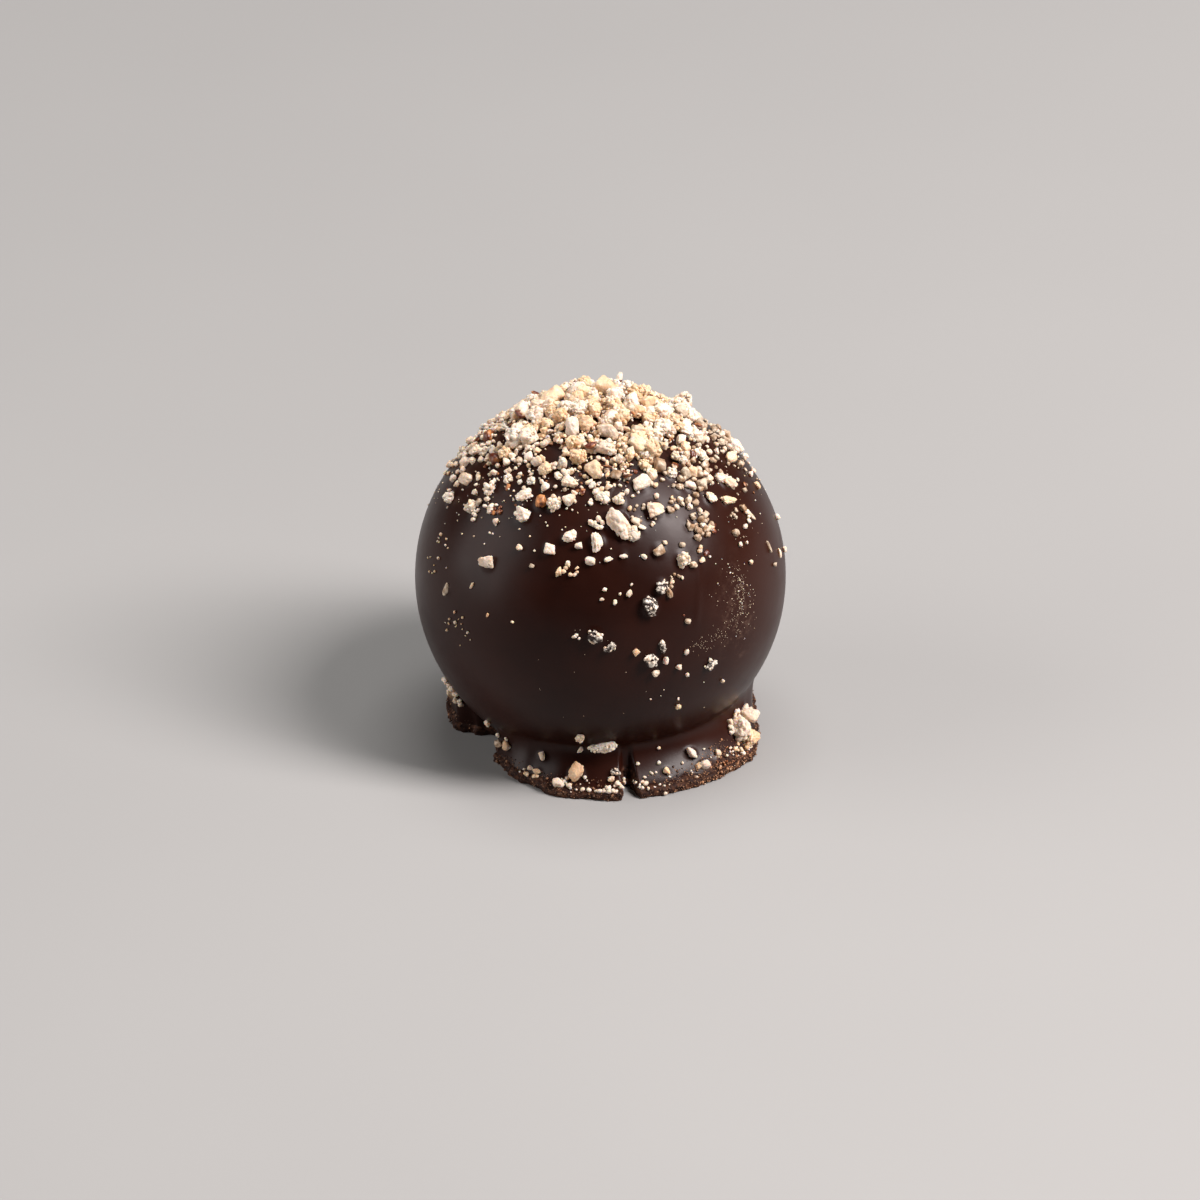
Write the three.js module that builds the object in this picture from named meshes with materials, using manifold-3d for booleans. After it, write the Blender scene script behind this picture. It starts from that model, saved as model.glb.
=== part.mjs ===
// A dipped dark chocolate truffle: a nearly round ball that settled a little before it set, the foot
// of chocolate that ran down and set round its base, and chopped hazelnut over its top.
// Millimetres, +Z up. The origin is on the flat underside, straight below the ball's centre. The front
// faces -Y. An azimuth is measured from the front towards +X, and a polar angle from straight up.
import * as THREE from "three";
import { mergeVertices } from "three/addons/utils/BufferGeometryUtils.js";
import Module from "manifold-3d";

const BALL_RADIUS = 13.5;
const CENTRE_HEIGHT = 11.5; // less than the radius, as the soft ball sank onto its base
const SWELL = 0.07; // how far the coat rises and dips from a true ball

const RIM_HEIGHT = 0.62; // of the foot's outer edge
const RIM_ROUND = 0.24;
const RIM_POLAR = 150; // the polar angle that stands for the foot's rim, on the scale that places nuts
const FOOT_SPREAD = 0.5; // how much of its reach the foot takes to level out
const FOOT_DROP = 0.35; // how much of its height the foot takes to leave the ball
const FLARE_REACH = 1.6; // a foot that reaches this far beyond the ball's side levels out fully
const RIM_SLOPE = 14; // degrees, of the foot's top at its rim

// The foot's outline: azimuth in degrees, reach from the axis, height at which it leaves the ball.
// The chocolate pooled at the front, and left a bare stretch at the front left.
const FOOT_OUTLINE = [
  [-180, 11.9, 3.6],
  [-150, 12.1, 3.5],
  [-120, 11.7, 3.8],
  [-95, 11.2, 4.2],
  [-77, 11.0, 4.2],
  [-71, 9.8, 2.6],
  [-66, 8.4, 1.2],
  [-56, 8.4, 1.2],
  [-51, 9.6, 2.2],
  [-45, 10.6, 3.0],
  [-28, 11.8, 3.3],
  [-12, 12.9, 3.4],
  [35, 13.1, 3.5],
  [55, 13.0, 3.8],
  [70, 12.3, 4.4],
  [85, 11.5, 4.8],
  [110, 11.4, 4.7],
  [145, 11.9, 4.0],
  [180, 11.9, 3.6],
];
const RIM_WAVE = 0.16; // how far the rim wanders in and out
const CRACK_AZIMUTH = 10;
const CRACK_HALF_WIDTH = 3.3; // degrees
const CRACK_FLAT = 1.0; // degrees, of half its bottom
const CRACK_DEPTH = 2.0;

const AZIMUTH_STEPS = 48;
const FINE_AZIMUTHS = [-78, -74, -70, -65.5, -56.5, -52, -48, 6.7, 7.8, 9, 11, 12.2, 13.3];
const BALL_ROWS = 14;
const FILLET_ROWS = 5;
const COARSE_ROWS = [2, 5]; // down to these rows the ball has a quarter, then half, of its azimuths

// Nut: the cap of chopped nut lies a little to the back, and thins out towards its edge.
const CAP_TILT = 12;
const CAP_FULL = 38; // degrees from the cap's middle to where it starts to thin
const CAP_END = 62;
const CAP_SPOTS = 900;
const CAP_SEED = 4127;
const NUT_LEAST = 0.45;
const NUT_RANGE = 0.85;
const NUT_BUNCHING = 2.2; // the higher, the fewer of the cap's pieces are large
const NUT_RISE = 0.62; // of its width, how far a piece stands out
const NUT_SUNK = 0.38; // the share of a piece's thickness that sits in the chocolate
const NUT_SHRINK = 0.3; // how much smaller the cap's pieces get from its middle to its edge
const NUT_RAGGEDNESS = 0.34;
const NUTS_IN_SOLID = 215; // the largest

// Nut pieces that stand out: polar angle, azimuth, length, width, turn of the length from level, and,
// for the ones that stand far out, how far.
const LANDMARKS = [
  // behind the top
  [27, 176, 1.3, 1.0, 0, 0.8],
  [28, 162, 1.2, 1.0, 30, 0.75],
  [29.5, 169, 0.7, 0.55, 90, 1.25],
  [28, -167, 1.3, 1.0, 0, 0.75],
  [36, 133, 1.7, 1.4, 60, 1.2],
  [48, 105, 1.3, 1.0, 30],
  // on the top of the cap
  [18, -126, 1.95, 1.4, 146, 0.85],
  [14.8, -153, 1.6, 1.1, 153, 0.8],
  [19.4, -87, 1.6, 1.4, 87, 0.8],
  [14.8, -34, 1.5, 1.1, 114, 0.9],
  [11.1, -22.5, 1.6, 1.3, 22, 0.9],
  [8.5, 147, 1.8, 1.5, 123, 0.9],
  [15.8, 137, 1.6, 1.4, 103, 0.8],
  [14.5, 107, 1.4, 1.3, 118, 0.8],
  [20.7, 69, 1.7, 1.5, 111, 0.75],
  [27, 69, 1.1, 0.7, 21, 0.6],
  [14.7, 10.4, 1.4, 1.0, 140, 0.85],
  [20.9, 5.5, 1.7, 1.4, -15, 0.75],
  [24.8, -15.6, 1.4, 1.0, 15, 0.75],
  // the front of the cap and the single pieces below it
  [28, -4, 1.7, 1.4, -35],
  [33.5, -16.5, 1.3, 0.9, -15],
  [34, 23, 1.6, 1.1, 10],
  [36, -68, 1.1, 1.0, 0],
  [36, -93, 1.1, 0.9, 0],
  [39.5, -15, 0.9, 0.9, 0],
  [41, -21, 1.25, 1.0, 100],
  [41, -37, 1.3, 0.9, 40],
  [41.5, -27.5, 1.0, 0.9, 60],
  [43.5, 24.5, 1.25, 1.2, 0],
  [44, -56, 1.2, 0.9, 100],
  [44, 88, 1.4, 0.8, -30],
  [45.5, 69, 2.0, 0.9, -60],
  [46.5, 7.5, 2.6, 1.4, -63, 0.95],
  [50, 13, 1.0, 0.7, -70],
  [47, -33.5, 1.15, 1.05, 0],
  [47, -73, 1.0, 1.0, 0],
  [50, 62, 1.5, 0.7, -30],
  [50.5, -12, 1.1, 0.9, 10],
  [51.5, -59, 1.1, 0.8, 80],
  [52, -1, 1.5, 0.9, 90],
  [55, -18.5, 0.85, 0.8, 0],
  [55, -75, 1.0, 0.9, 20],
  [56, 22, 1.0, 0.7, 20],
  [57.5, -3.5, 0.75, 0.7, 0],
  [60, 30, 1.0, 1.0, 0],
  [61.5, -14, 0.8, 0.45, 75],
  [64, -41, 1.3, 0.9, 25],
  // under a film of chocolate, on the ball's front
  [67, 20.5, 1.0, 0.9, 0],
  [69, 23, 0.75, 0.5, 100],
  [72, 16, 1.5, 1.0, 100],
  [80.5, -1.5, 1.1, 0.9, 0],
  [84, 3, 0.75, 0.5, 30],
  [85.5, 19, 0.9, 0.45, 95],
  [89, 15.5, 0.9, 0.9, 0],
  [94, 17, 0.6, 0.5, 0],
  [96, 36, 1.1, 0.5, 10],
  // on the foot
  [121, -7, 0.7, 0.65, 0],
  [125.8, 1, 2.5, 0.75, 14, 0.6],
  [124, -74, 0.75, 0.5, 120],
  [132, -78, 0.8, 0.6, 90],
  [137, -22.5, 0.7, 0.5, 110],
  [138, 60, 1.9, 1.3, 60, 1.0],
  [136, 67, 1.4, 1.1, -20, 0.9],
  [146, 61, 1.3, 1.0, 30, 0.8],
  [138.5, 35.5, 1.05, 0.65, 110],
  [139, -39.5, 0.75, 0.6, 90],
  [140.5, -45, 0.85, 0.5, 0],
  [141.5, -8.5, 1.4, 1.0, 65],
  [142.5, 45.5, 0.65, 0.5, 110],
  [145, 38, 0.9, 0.7, -20],
  [147, -14, 0.9, 0.7, 10],
];

// Spots of the cap without nut: polar angle, azimuth, radius.
const BARE_SPOTS = [
  [9.6, -107, 0.8],
  [25, -37, 1.1],
  [12.6, 54, 0.9],
  [27, 48, 0.8],
  [31, -84, 0.9],
  [35, -150, 1.2],
  [41, 172, 1.0],
  [40, 118, 1.1],
  [52, -122, 1.3],
];

const RADIANS = Math.PI / 180;

function smoothStep(low, high, value) {
  const t = Math.min(1, Math.max(0, (value - low) / (high - low)));
  return t * t * (3 - 2 * t);
}

function blend(from, to, share) {
  return from + (to - from) * share;
}

// Park and Miller's generator, so that the nut always falls alike.
function drawsFrom(seed) {
  let state = seed;
  return () => {
    state = (state * 48271) % 2147483647;
    return state / 2147483647;
  };
}

function directionAt(azimuth, polar) {
  const side = Math.sin(polar * RADIANS);
  const a = azimuth * RADIANS;
  return new THREE.Vector3(side * Math.sin(a), -side * Math.cos(a), Math.cos(polar * RADIANS));
}

// How far the coat stands out from a true ball in a direction.
function swellAt(d) {
  const wide = Math.sin(2.1 * d.x + 3.3 * d.z + 0.4) + Math.sin(2.7 * d.y - 1.9 * d.x + 2.0);
  const close = Math.sin(5.3 * d.x + 1.7 * d.y + 1.1) * Math.sin(4.1 * d.z - 2.3 * d.y);
  return SWELL * (0.45 * wide + 0.4 * close);
}

// The foot's reach and the height at which it leaves the ball, at an azimuth.
function footAt(azimuth) {
  const next = FOOT_OUTLINE.findIndex(([at]) => at >= azimuth);
  const [toAt, toReach, toLeave] = FOOT_OUTLINE[Math.max(1, next)];
  const [fromAt, fromReach, fromLeave] = FOOT_OUTLINE[Math.max(1, next) - 1];
  const share = smoothStep(fromAt, toAt, azimuth);
  const a = azimuth * RADIANS;
  const wave = RIM_WAVE * (0.5 * Math.sin(7 * a + 0.6) + 0.3 * Math.sin(13 * a) + 0.2 * Math.sin(19 * a));
  const crack = 1 - smoothStep(CRACK_FLAT, CRACK_HALF_WIDTH, Math.abs(azimuth - CRACK_AZIMUTH));
  return {
    reach: blend(fromReach, toReach, share) + wave - CRACK_DEPTH * crack,
    leave: blend(fromLeave, toLeave, share),
  };
}

function leavingPolar(azimuth) {
  return Math.acos((footAt(azimuth).leave - CENTRE_HEIGHT) / BALL_RADIUS) / RADIANS;
}

function ballPoint(azimuth, polar) {
  const d = directionAt(azimuth, polar);
  const point = d.clone().multiplyScalar(BALL_RADIUS + swellAt(d));
  point.z += CENTRE_HEIGHT;
  return point;
}

// The foot's top as a curve from the ball's side, share 0, to the rim, share 1.
function footPoint(azimuth, share) {
  const polar = leavingPolar(azimuth);
  const start = ballPoint(azimuth, polar);
  const startReach = Math.hypot(start.x, start.y);
  const endReach = footAt(azimuth).reach - RIM_ROUND;
  const rimHeight = Math.min(RIM_HEIGHT, 0.6 * start.z);
  const drop = FOOT_DROP * (start.z - rimHeight);
  const inward = drop * Math.cos(polar * RADIANS);
  const downward = drop * Math.sin(polar * RADIANS);
  const spread = FOOT_SPREAD * Math.max(drop, endReach - startReach);
  const flare = smoothStep(-0.4, FLARE_REACH, endReach - startReach);
  const slope = blend(90, RIM_SLOPE, flare) * RADIANS;
  const curve = new THREE.CubicBezierCurve(
    new THREE.Vector2(startReach, start.z),
    new THREE.Vector2(startReach + inward, start.z - downward),
    new THREE.Vector2(endReach - spread * Math.cos(slope), rimHeight + spread * Math.sin(slope)),
    new THREE.Vector2(endReach, rimHeight),
  );
  const at = curve.getPoint(share);
  return ringPoint(azimuth, at.x, at.y);
}

function ringPoint(azimuth, reach, height) {
  const a = azimuth * RADIANS;
  return new THREE.Vector3(reach * Math.sin(a), -reach * Math.cos(a), height);
}

// The surface where a nut lies: past the polar angle where the foot leaves, the scale runs on to the rim.
function surfaceAt(azimuth, polar) {
  const leaving = leavingPolar(azimuth);
  if (polar <= leaving) return ballPoint(azimuth, polar);
  return footPoint(azimuth, Math.min(1, (polar - leaving) / (RIM_POLAR - leaving)));
}

function wrapped(azimuth) {
  return ((((azimuth + 180) % 360) + 360) % 360) - 180;
}

function normalAt(azimuth, polar) {
  const step = 0.5;
  const down = surfaceAt(azimuth, polar + step).sub(surfaceAt(azimuth, polar - step));
  const along = surfaceAt(wrapped(azimuth + step), polar).sub(surfaceAt(wrapped(azimuth - step), polar));
  return down.cross(along).normalize();
}

function rowAzimuths(row) {
  const even = Array.from({ length: AZIMUTH_STEPS }, (_, i) => -180 + (360 * i) / AZIMUTH_STEPS);
  if (row <= COARSE_ROWS[0]) return even.filter((_, i) => i % 4 === 0);
  if (row <= COARSE_ROWS[1]) return even.filter((_, i) => i % 2 === 0);
  if (row < BALL_ROWS - 1) return even;
  const least = 1.2; // degrees: an even azimuth this close to a fine one gives way to it
  const clear = even.filter((a) => FINE_AZIMUTHS.every((fine) => Math.abs(a - fine) > least));
  return [...clear, ...FINE_AZIMUTHS].sort((a, b) => a - b);
}

// The rings of points that the body's skin is stretched over, from the top down to the floor.
function bodyRings() {
  const rings = [];
  const addRing = (row, pointAt) => {
    const azimuths = rowAzimuths(row);
    rings.push({ azimuths, points: azimuths.map(pointAt) });
  };
  for (let row = 1; row <= BALL_ROWS; row += 1) {
    addRing(row, (azimuth) => ballPoint(azimuth, (leavingPolar(azimuth) * row) / BALL_ROWS));
  }
  for (let row = 1; row <= FILLET_ROWS; row += 1) {
    addRing(BALL_ROWS, (azimuth) => footPoint(azimuth, row / FILLET_ROWS));
  }
  addRing(BALL_ROWS, (azimuth) => ringPoint(azimuth, footAt(azimuth).reach, RIM_ROUND));
  addRing(BALL_ROWS, (azimuth) => ringPoint(azimuth, footAt(azimuth).reach - RIM_ROUND / 2, 0));
  return rings;
}

// A closed geometry over rings that may differ in how many points they have.
function skinOver(top, rings, bottom) {
  const vertices = [top, ...rings.flatMap((ring) => ring.points), bottom];
  const faces = [];
  const starts = [];
  rings.reduce((start, ring) => {
    starts.push(start);
    return start + ring.points.length;
  }, 1);
  const indexOf = (ring, i) => starts[ring] + (i % rings[ring].points.length);
  const azimuthOf = (ring, i) => {
    const { azimuths } = rings[ring];
    return azimuths[i % azimuths.length] + (i >= azimuths.length ? 360 : 0);
  };
  rings[0].points.forEach((_, i) => faces.push(0, indexOf(0, i), indexOf(0, i + 1)));
  for (let ring = 1; ring < rings.length; ring += 1) {
    const upperCount = rings[ring - 1].points.length;
    const lowerCount = rings[ring].points.length;
    let upper = 0;
    let lower = 0;
    while (upper < upperCount || lower < lowerCount) {
      const upperNext = upper < upperCount ? azimuthOf(ring - 1, upper + 1) : Infinity;
      const lowerNext = lower < lowerCount ? azimuthOf(ring, lower + 1) : Infinity;
      faces.push(indexOf(ring - 1, upper), indexOf(ring, lower));
      if (lowerNext <= upperNext) {
        lower += 1;
        faces.push(indexOf(ring, lower));
      } else {
        upper += 1;
        faces.push(indexOf(ring - 1, upper));
      }
    }
  }
  const last = rings.length - 1;
  const bottomIndex = vertices.length - 1;
  rings[last].points.forEach((_, i) => faces.push(indexOf(last, i), bottomIndex, indexOf(last, i + 1)));
  const geometry = new THREE.BufferGeometry().setFromPoints(vertices);
  geometry.setIndex(faces);
  return geometry;
}

// The cap's pieces: a spiral of even spots round the cap's axis, thinned out towards its edge.
function capNuts() {
  const draw = drawsFrom(CAP_SEED);
  const goldenAngle = Math.PI * (3 - Math.sqrt(5));
  const tilt = new THREE.Quaternion().setFromAxisAngle(new THREE.Vector3(-1, 0, 0), CAP_TILT * RADIANS);
  const depth = 1 - Math.cos(CAP_END * RADIANS);
  const nuts = [];
  for (let i = 0; i < CAP_SPOTS; i += 1) {
    const drop = (depth * (i + 0.2 + 0.6 * draw())) / CAP_SPOTS;
    const turn = i * goldenAngle + 0.05 * draw();
    const keep = draw();
    const full = NUT_LEAST + NUT_RANGE * draw() ** NUT_BUNCHING;
    const slimness = blend(0.65, 1, draw());
    const spin = 180 * draw();
    const away = Math.acos(1 - drop) / RADIANS;
    if (keep > 1 - smoothStep(CAP_FULL, CAP_END, away)) continue;
    const size = full * (1 - (NUT_SHRINK * away) / CAP_END);
    const side = Math.sin(away * RADIANS);
    const d = new THREE.Vector3(side * Math.sin(turn), -side * Math.cos(turn), 1 - drop);
    d.applyQuaternion(tilt);
    const polar = Math.acos(d.z) / RADIANS;
    const azimuth = Math.atan2(d.x, -d.y) / RADIANS;
    nuts.push([polar, azimuth, size, size * slimness, spin]);
  }
  return nuts;
}

// The landmarks, then the cap's largest pieces that stand clear of them and of the bare spots.
function nutsInSolid() {
  const placed = LANDMARKS.map(([polar, azimuth, length]) => [surfaceAt(azimuth, polar), length]);
  const spots = BARE_SPOTS.map(([polar, azimuth, radius]) => [surfaceAt(azimuth, polar), radius]);
  const clear = capNuts().filter(([polar, azimuth, length]) => {
    const at = surfaceAt(azimuth, polar);
    const inSpot = spots.some(([point, radius]) => point.distanceTo(at) < radius + 0.3 * length);
    return !inSpot && placed.every(([point, other]) => point.distanceTo(at) > 0.42 * (length + other));
  });
  clear.sort((a, b) => b[2] * b[3] - a[2] * a[3]);
  return [...LANDMARKS, ...clear].slice(0, NUTS_IN_SOLID);
}

// One chopped piece of nut: a ragged lump with its length turned from level.
function nutGeometry([polar, azimuth, length, width, turn, rise = NUT_RISE * width], draw) {
  const cornerReach = 0.85; // of the radius, how far the corners reach along each axis
  const geometry = mergeVertices(bare(new THREE.IcosahedronGeometry(0.5 / cornerReach, 0)));
  const position = geometry.getAttribute("position");
  const thickness = rise / (1 - NUT_SUNK);
  const normal = normalAt(azimuth, polar);
  const level = new THREE.Vector3(0, 0, 1).cross(normal).normalize();
  const along = level.applyAxisAngle(normal, turn * RADIANS);
  const across = normal.clone().cross(along);
  const centre = surfaceAt(azimuth, polar).addScaledVector(normal, thickness * (0.5 - NUT_SUNK));
  for (let i = 0; i < position.count; i += 1) {
    const ragged = 1 + NUT_RAGGEDNESS * (draw() - 0.5);
    const point = centre.clone();
    point.addScaledVector(along, position.getX(i) * length * ragged);
    point.addScaledVector(across, position.getY(i) * width * ragged);
    point.addScaledVector(normal, position.getZ(i) * thickness * ragged);
    position.setXYZ(i, point.x, point.y, point.z);
  }
  return geometry;
}

function bare(geometry) {
  geometry.deleteAttribute("normal");
  geometry.deleteAttribute("uv");
  return geometry;
}

const wasm = await Module();
wasm.setup();

function solidOf(geometry) {
  return new wasm.Manifold(
    new wasm.Mesh({
      numProp: 3,
      vertProperties: new Float32Array(geometry.getAttribute("position").array),
      triVerts: new Uint32Array(geometry.index.array),
    }),
  );
}

function geometryOf(solid) {
  const mesh = solid.getMesh();
  const geometry = new THREE.BufferGeometry();
  geometry.setAttribute("position", new THREE.BufferAttribute(mesh.vertProperties, 3));
  geometry.setIndex(new THREE.BufferAttribute(mesh.triVerts, 1));
  return geometry;
}

function buildTruffle() {
  const top = ballPoint(0, 0);
  const body = solidOf(skinOver(top, bodyRings(), new THREE.Vector3(0, 0, 0)));
  const draw = drawsFrom(CAP_SEED + 1);
  const nuts = nutsInSolid().map((nut) => solidOf(nutGeometry(nut, draw)));
  const chocolate = new THREE.MeshStandardMaterial({ color: 0x2a1510, roughness: 0.38, metalness: 0 });
  const mesh = new THREE.Mesh(geometryOf(wasm.Manifold.union([body, ...nuts])), chocolate);
  mesh.name = "truffle";
  return mesh;
}

const truffle = new THREE.Group();
truffle.add(buildTruffle());
export default truffle;
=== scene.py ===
"""A dipped dark chocolate truffle with chopped hazelnut over its top, on a plain pale floor.

The shapes are worked out in millimetres and turned into metres when a mesh is made. The front faces -Y.
An azimuth is measured in degrees from the front towards +X, and a polar angle from straight up.
"""

import math
from collections import namedtuple

import bmesh
import bpy
import numpy as np
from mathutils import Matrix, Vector
from numpy.random import default_rng


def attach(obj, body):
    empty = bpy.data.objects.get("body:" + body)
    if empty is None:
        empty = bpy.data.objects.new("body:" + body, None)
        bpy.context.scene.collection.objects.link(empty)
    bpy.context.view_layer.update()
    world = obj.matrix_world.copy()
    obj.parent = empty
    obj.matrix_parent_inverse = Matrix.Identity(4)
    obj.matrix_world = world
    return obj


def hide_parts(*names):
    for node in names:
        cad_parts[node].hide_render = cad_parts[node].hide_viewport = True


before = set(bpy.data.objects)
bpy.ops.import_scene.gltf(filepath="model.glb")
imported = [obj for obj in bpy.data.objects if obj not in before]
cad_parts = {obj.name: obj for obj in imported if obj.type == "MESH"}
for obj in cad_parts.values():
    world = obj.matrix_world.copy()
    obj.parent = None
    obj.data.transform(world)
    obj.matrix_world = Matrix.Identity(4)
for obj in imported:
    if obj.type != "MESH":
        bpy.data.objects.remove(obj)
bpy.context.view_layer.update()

MM = 0.001
RADIANS = math.pi / 180
HALF_TURN = 180
GOLDEN_ANGLE = math.pi * (3 - math.sqrt(5))
NORMAL_STEP = 0.5

# The ball and its foot, as in the solid.
BALL_RADIUS = 13.5
CENTRE_HEIGHT = 11.5
SWELL = 0.07
RIM_HEIGHT = 0.62
RIM_ROUND = 0.24
RIM_POLAR = 150.0
FOOT_SPREAD = 0.5
FOOT_DROP = 0.35
FLARE_REACH = 1.6
RIM_SLOPE = 14.0
RIM_SHARE = 0.6
FLARE_START = -0.4
RIM_WAVE = 0.16
CRACK_AZIMUTH = 10.0
CRACK_HALF_WIDTH = 3.3
CRACK_FLAT = 1.0
CRACK_DEPTH = 2.0

# The foot's outline, as in the solid: azimuth, reach from the axis, height at which it leaves the ball.
FOOT_OUTLINE = np.array([
    [-180, 11.9, 3.6], [-150, 12.1, 3.5], [-120, 11.7, 3.8], [-95, 11.2, 4.2], [-77, 11, 4.2],
    [-71, 9.8, 2.6], [-66, 8.4, 1.2], [-56, 8.4, 1.2], [-51, 9.6, 2.2], [-45, 10.6, 3],
    [-28, 11.8, 3.3], [-12, 12.9, 3.4], [35, 13.1, 3.5], [55, 13, 3.8], [70, 12.3, 4.4],
    [85, 11.5, 4.8], [110, 11.4, 4.7], [145, 11.9, 4], [180, 11.9, 3.6],
])
BARE_STRETCH = (-71, -46)

# The coat's mesh, finer where the foot is uneven: from azimuth, to azimuth, count of columns
SHELL_COLUMNS = ((-180, -82, 96), (-82, -44, 62), (-44, 6, 62), (6, 14, 34), (14, 66, 62), (66, 180, 100))
BALL_ROWS, FOOT_ROWS, RIM_ROWS = 132, 54, 9

# The coat's relief: height, size and seed of each layer of noise
CRAGS = ((0.13, 0.55, 22), (0.09, 0.26, 23), (0.04, 0.13, 24))
WAVES = ((0.010, 3.4, 25), (0.002, 0.9, 26))
RAGGED = ((0.45, 0.9, 21),)
SPLIT_REACH, SPLIT_ROWS = (2.0, 4.2), (0.5, 0.75)
BROKEN_STEP = (0.25, 0.75)

# Where the foot's broken edge starts on its top, and the humps where it is wider: by how much, azimuth,
# width, power
EDGE_START = 0.90
EDGE_WIDER = ((0.08, -5, 40, 4), (0.24, 52, 20))

# Crumbs on that edge, with humps where they are likelier and where they are lighter
CRUMB_CHANCE, CRUMBS_LIKELIER = 0.12, ((0.3, -12, 28, 4), (0.58, 48, 24))
CRUMB_TONE, CRUMBS_LIGHTER = 0.12, ((0.46, 48, 24),)
CRUMB_TONES = 0.28
CRUMBS_ON_FACE = 0.4
CRUMB_FACE = (0.08, 0.58)
CRUMB_DEPTH, CRUMB_DEPTH_BUNCHING = 1.15, 1.6
CRUMB_BUNCHING = 2
CRUMB_STRAY = 0.04

# A faint upright ridge at the right of the front, and how it leans
RIDGE_AZIMUTH, RIDGE_POLAR, RIDGE_LEAN = 35.7, 63, 0.26
RIDGE_HEIGHT, RIDGE_WIDTH = 0.06, 0.8
RIDGE_TOP, RIDGE_BOTTOM = (58, 64), (78, 84)

# A smear, and a patch of painted warm rim light at the right: middle and width in polar angle, the same in
# azimuth
SMUDGE = ((84, 12), (48, 6))
PAINTED_RIM_LIGHT = ((74, 34), (66, 24))

# How the chocolate climbs round the larger pieces: from this size, and in shares of half of it
CLIMB_LEAST, CLIMB_FROM, CLIMB_SHARE = 0.55, 0.75, 0.18
CLIMB_WIDTH, CLIMB_REACH = 0.17, 0.5

# The nut, as in the solid.
CAP_TILT = 12.0
CAP_FULL = 38.0
CAP_END = 62.0
CAP_SPOTS = 900
CAP_SEED = 4127
CAP_STRAY_LEAST, CAP_STRAY = 0.2, 0.6
CAP_TURN_STRAY = 0.05
CAP_SLIMMEST = 0.65
NUT_LEAST = 0.45
NUT_RANGE = 0.85
NUT_BUNCHING = 2.2
NUT_RISE = 0.62
NUT_SUNK = 0.38
NUT_SHRINK = 0.3
NUT_CLEARANCE = 0.42
SPOT_CLEARANCE = 0.3
SPOT_SHARES = (0.2, 0.95)
DRAW_FACTOR, DRAW_END = 48271, 2147483647

# Kinds of nut, with the chocolate crumbs as the last
IVORY, GOLDEN, SKIN, GLAZED, FILMED, CRUMB = range(6)
PALE = (IVORY, GOLDEN)

# The two colours of each kind, how strongly they part, how finely they are mottled, and their balance
PALETTE = np.array([
    [[0.89, 0.75, 0.625], [0.79, 0.57, 0.395]],
    [[0.89, 0.665, 0.45], [0.77, 0.47, 0.26]],
    [[0.13, 0.022, 0.007], [0.58, 0.24, 0.085]],
    [[0.8, 0.655, 0.495], [0.4, 0.23, 0.12]],
    [[0.022, 0.0085, 0.006], [0.8, 0.72, 0.62]],
    [[0.03, 0.009, 0.0048], [0.56, 0.27, 0.13]],
])
CONTRAST = np.array([0.6, 0.6, 1.9, 1.0, 2.4, 0.7])
MOTTLE = np.array([1.2, 1.2, 1.3, 1.4, 2.0, 1.5])
BALANCE = np.array([0.30, 0.30, 0.14, 0.42, 0.30, 0.0])


def filled(usual, table):
    """The table, with the usual values where a row leaves out its last ones."""
    return np.array([row + usual[len(row) :] for row in table])


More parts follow.
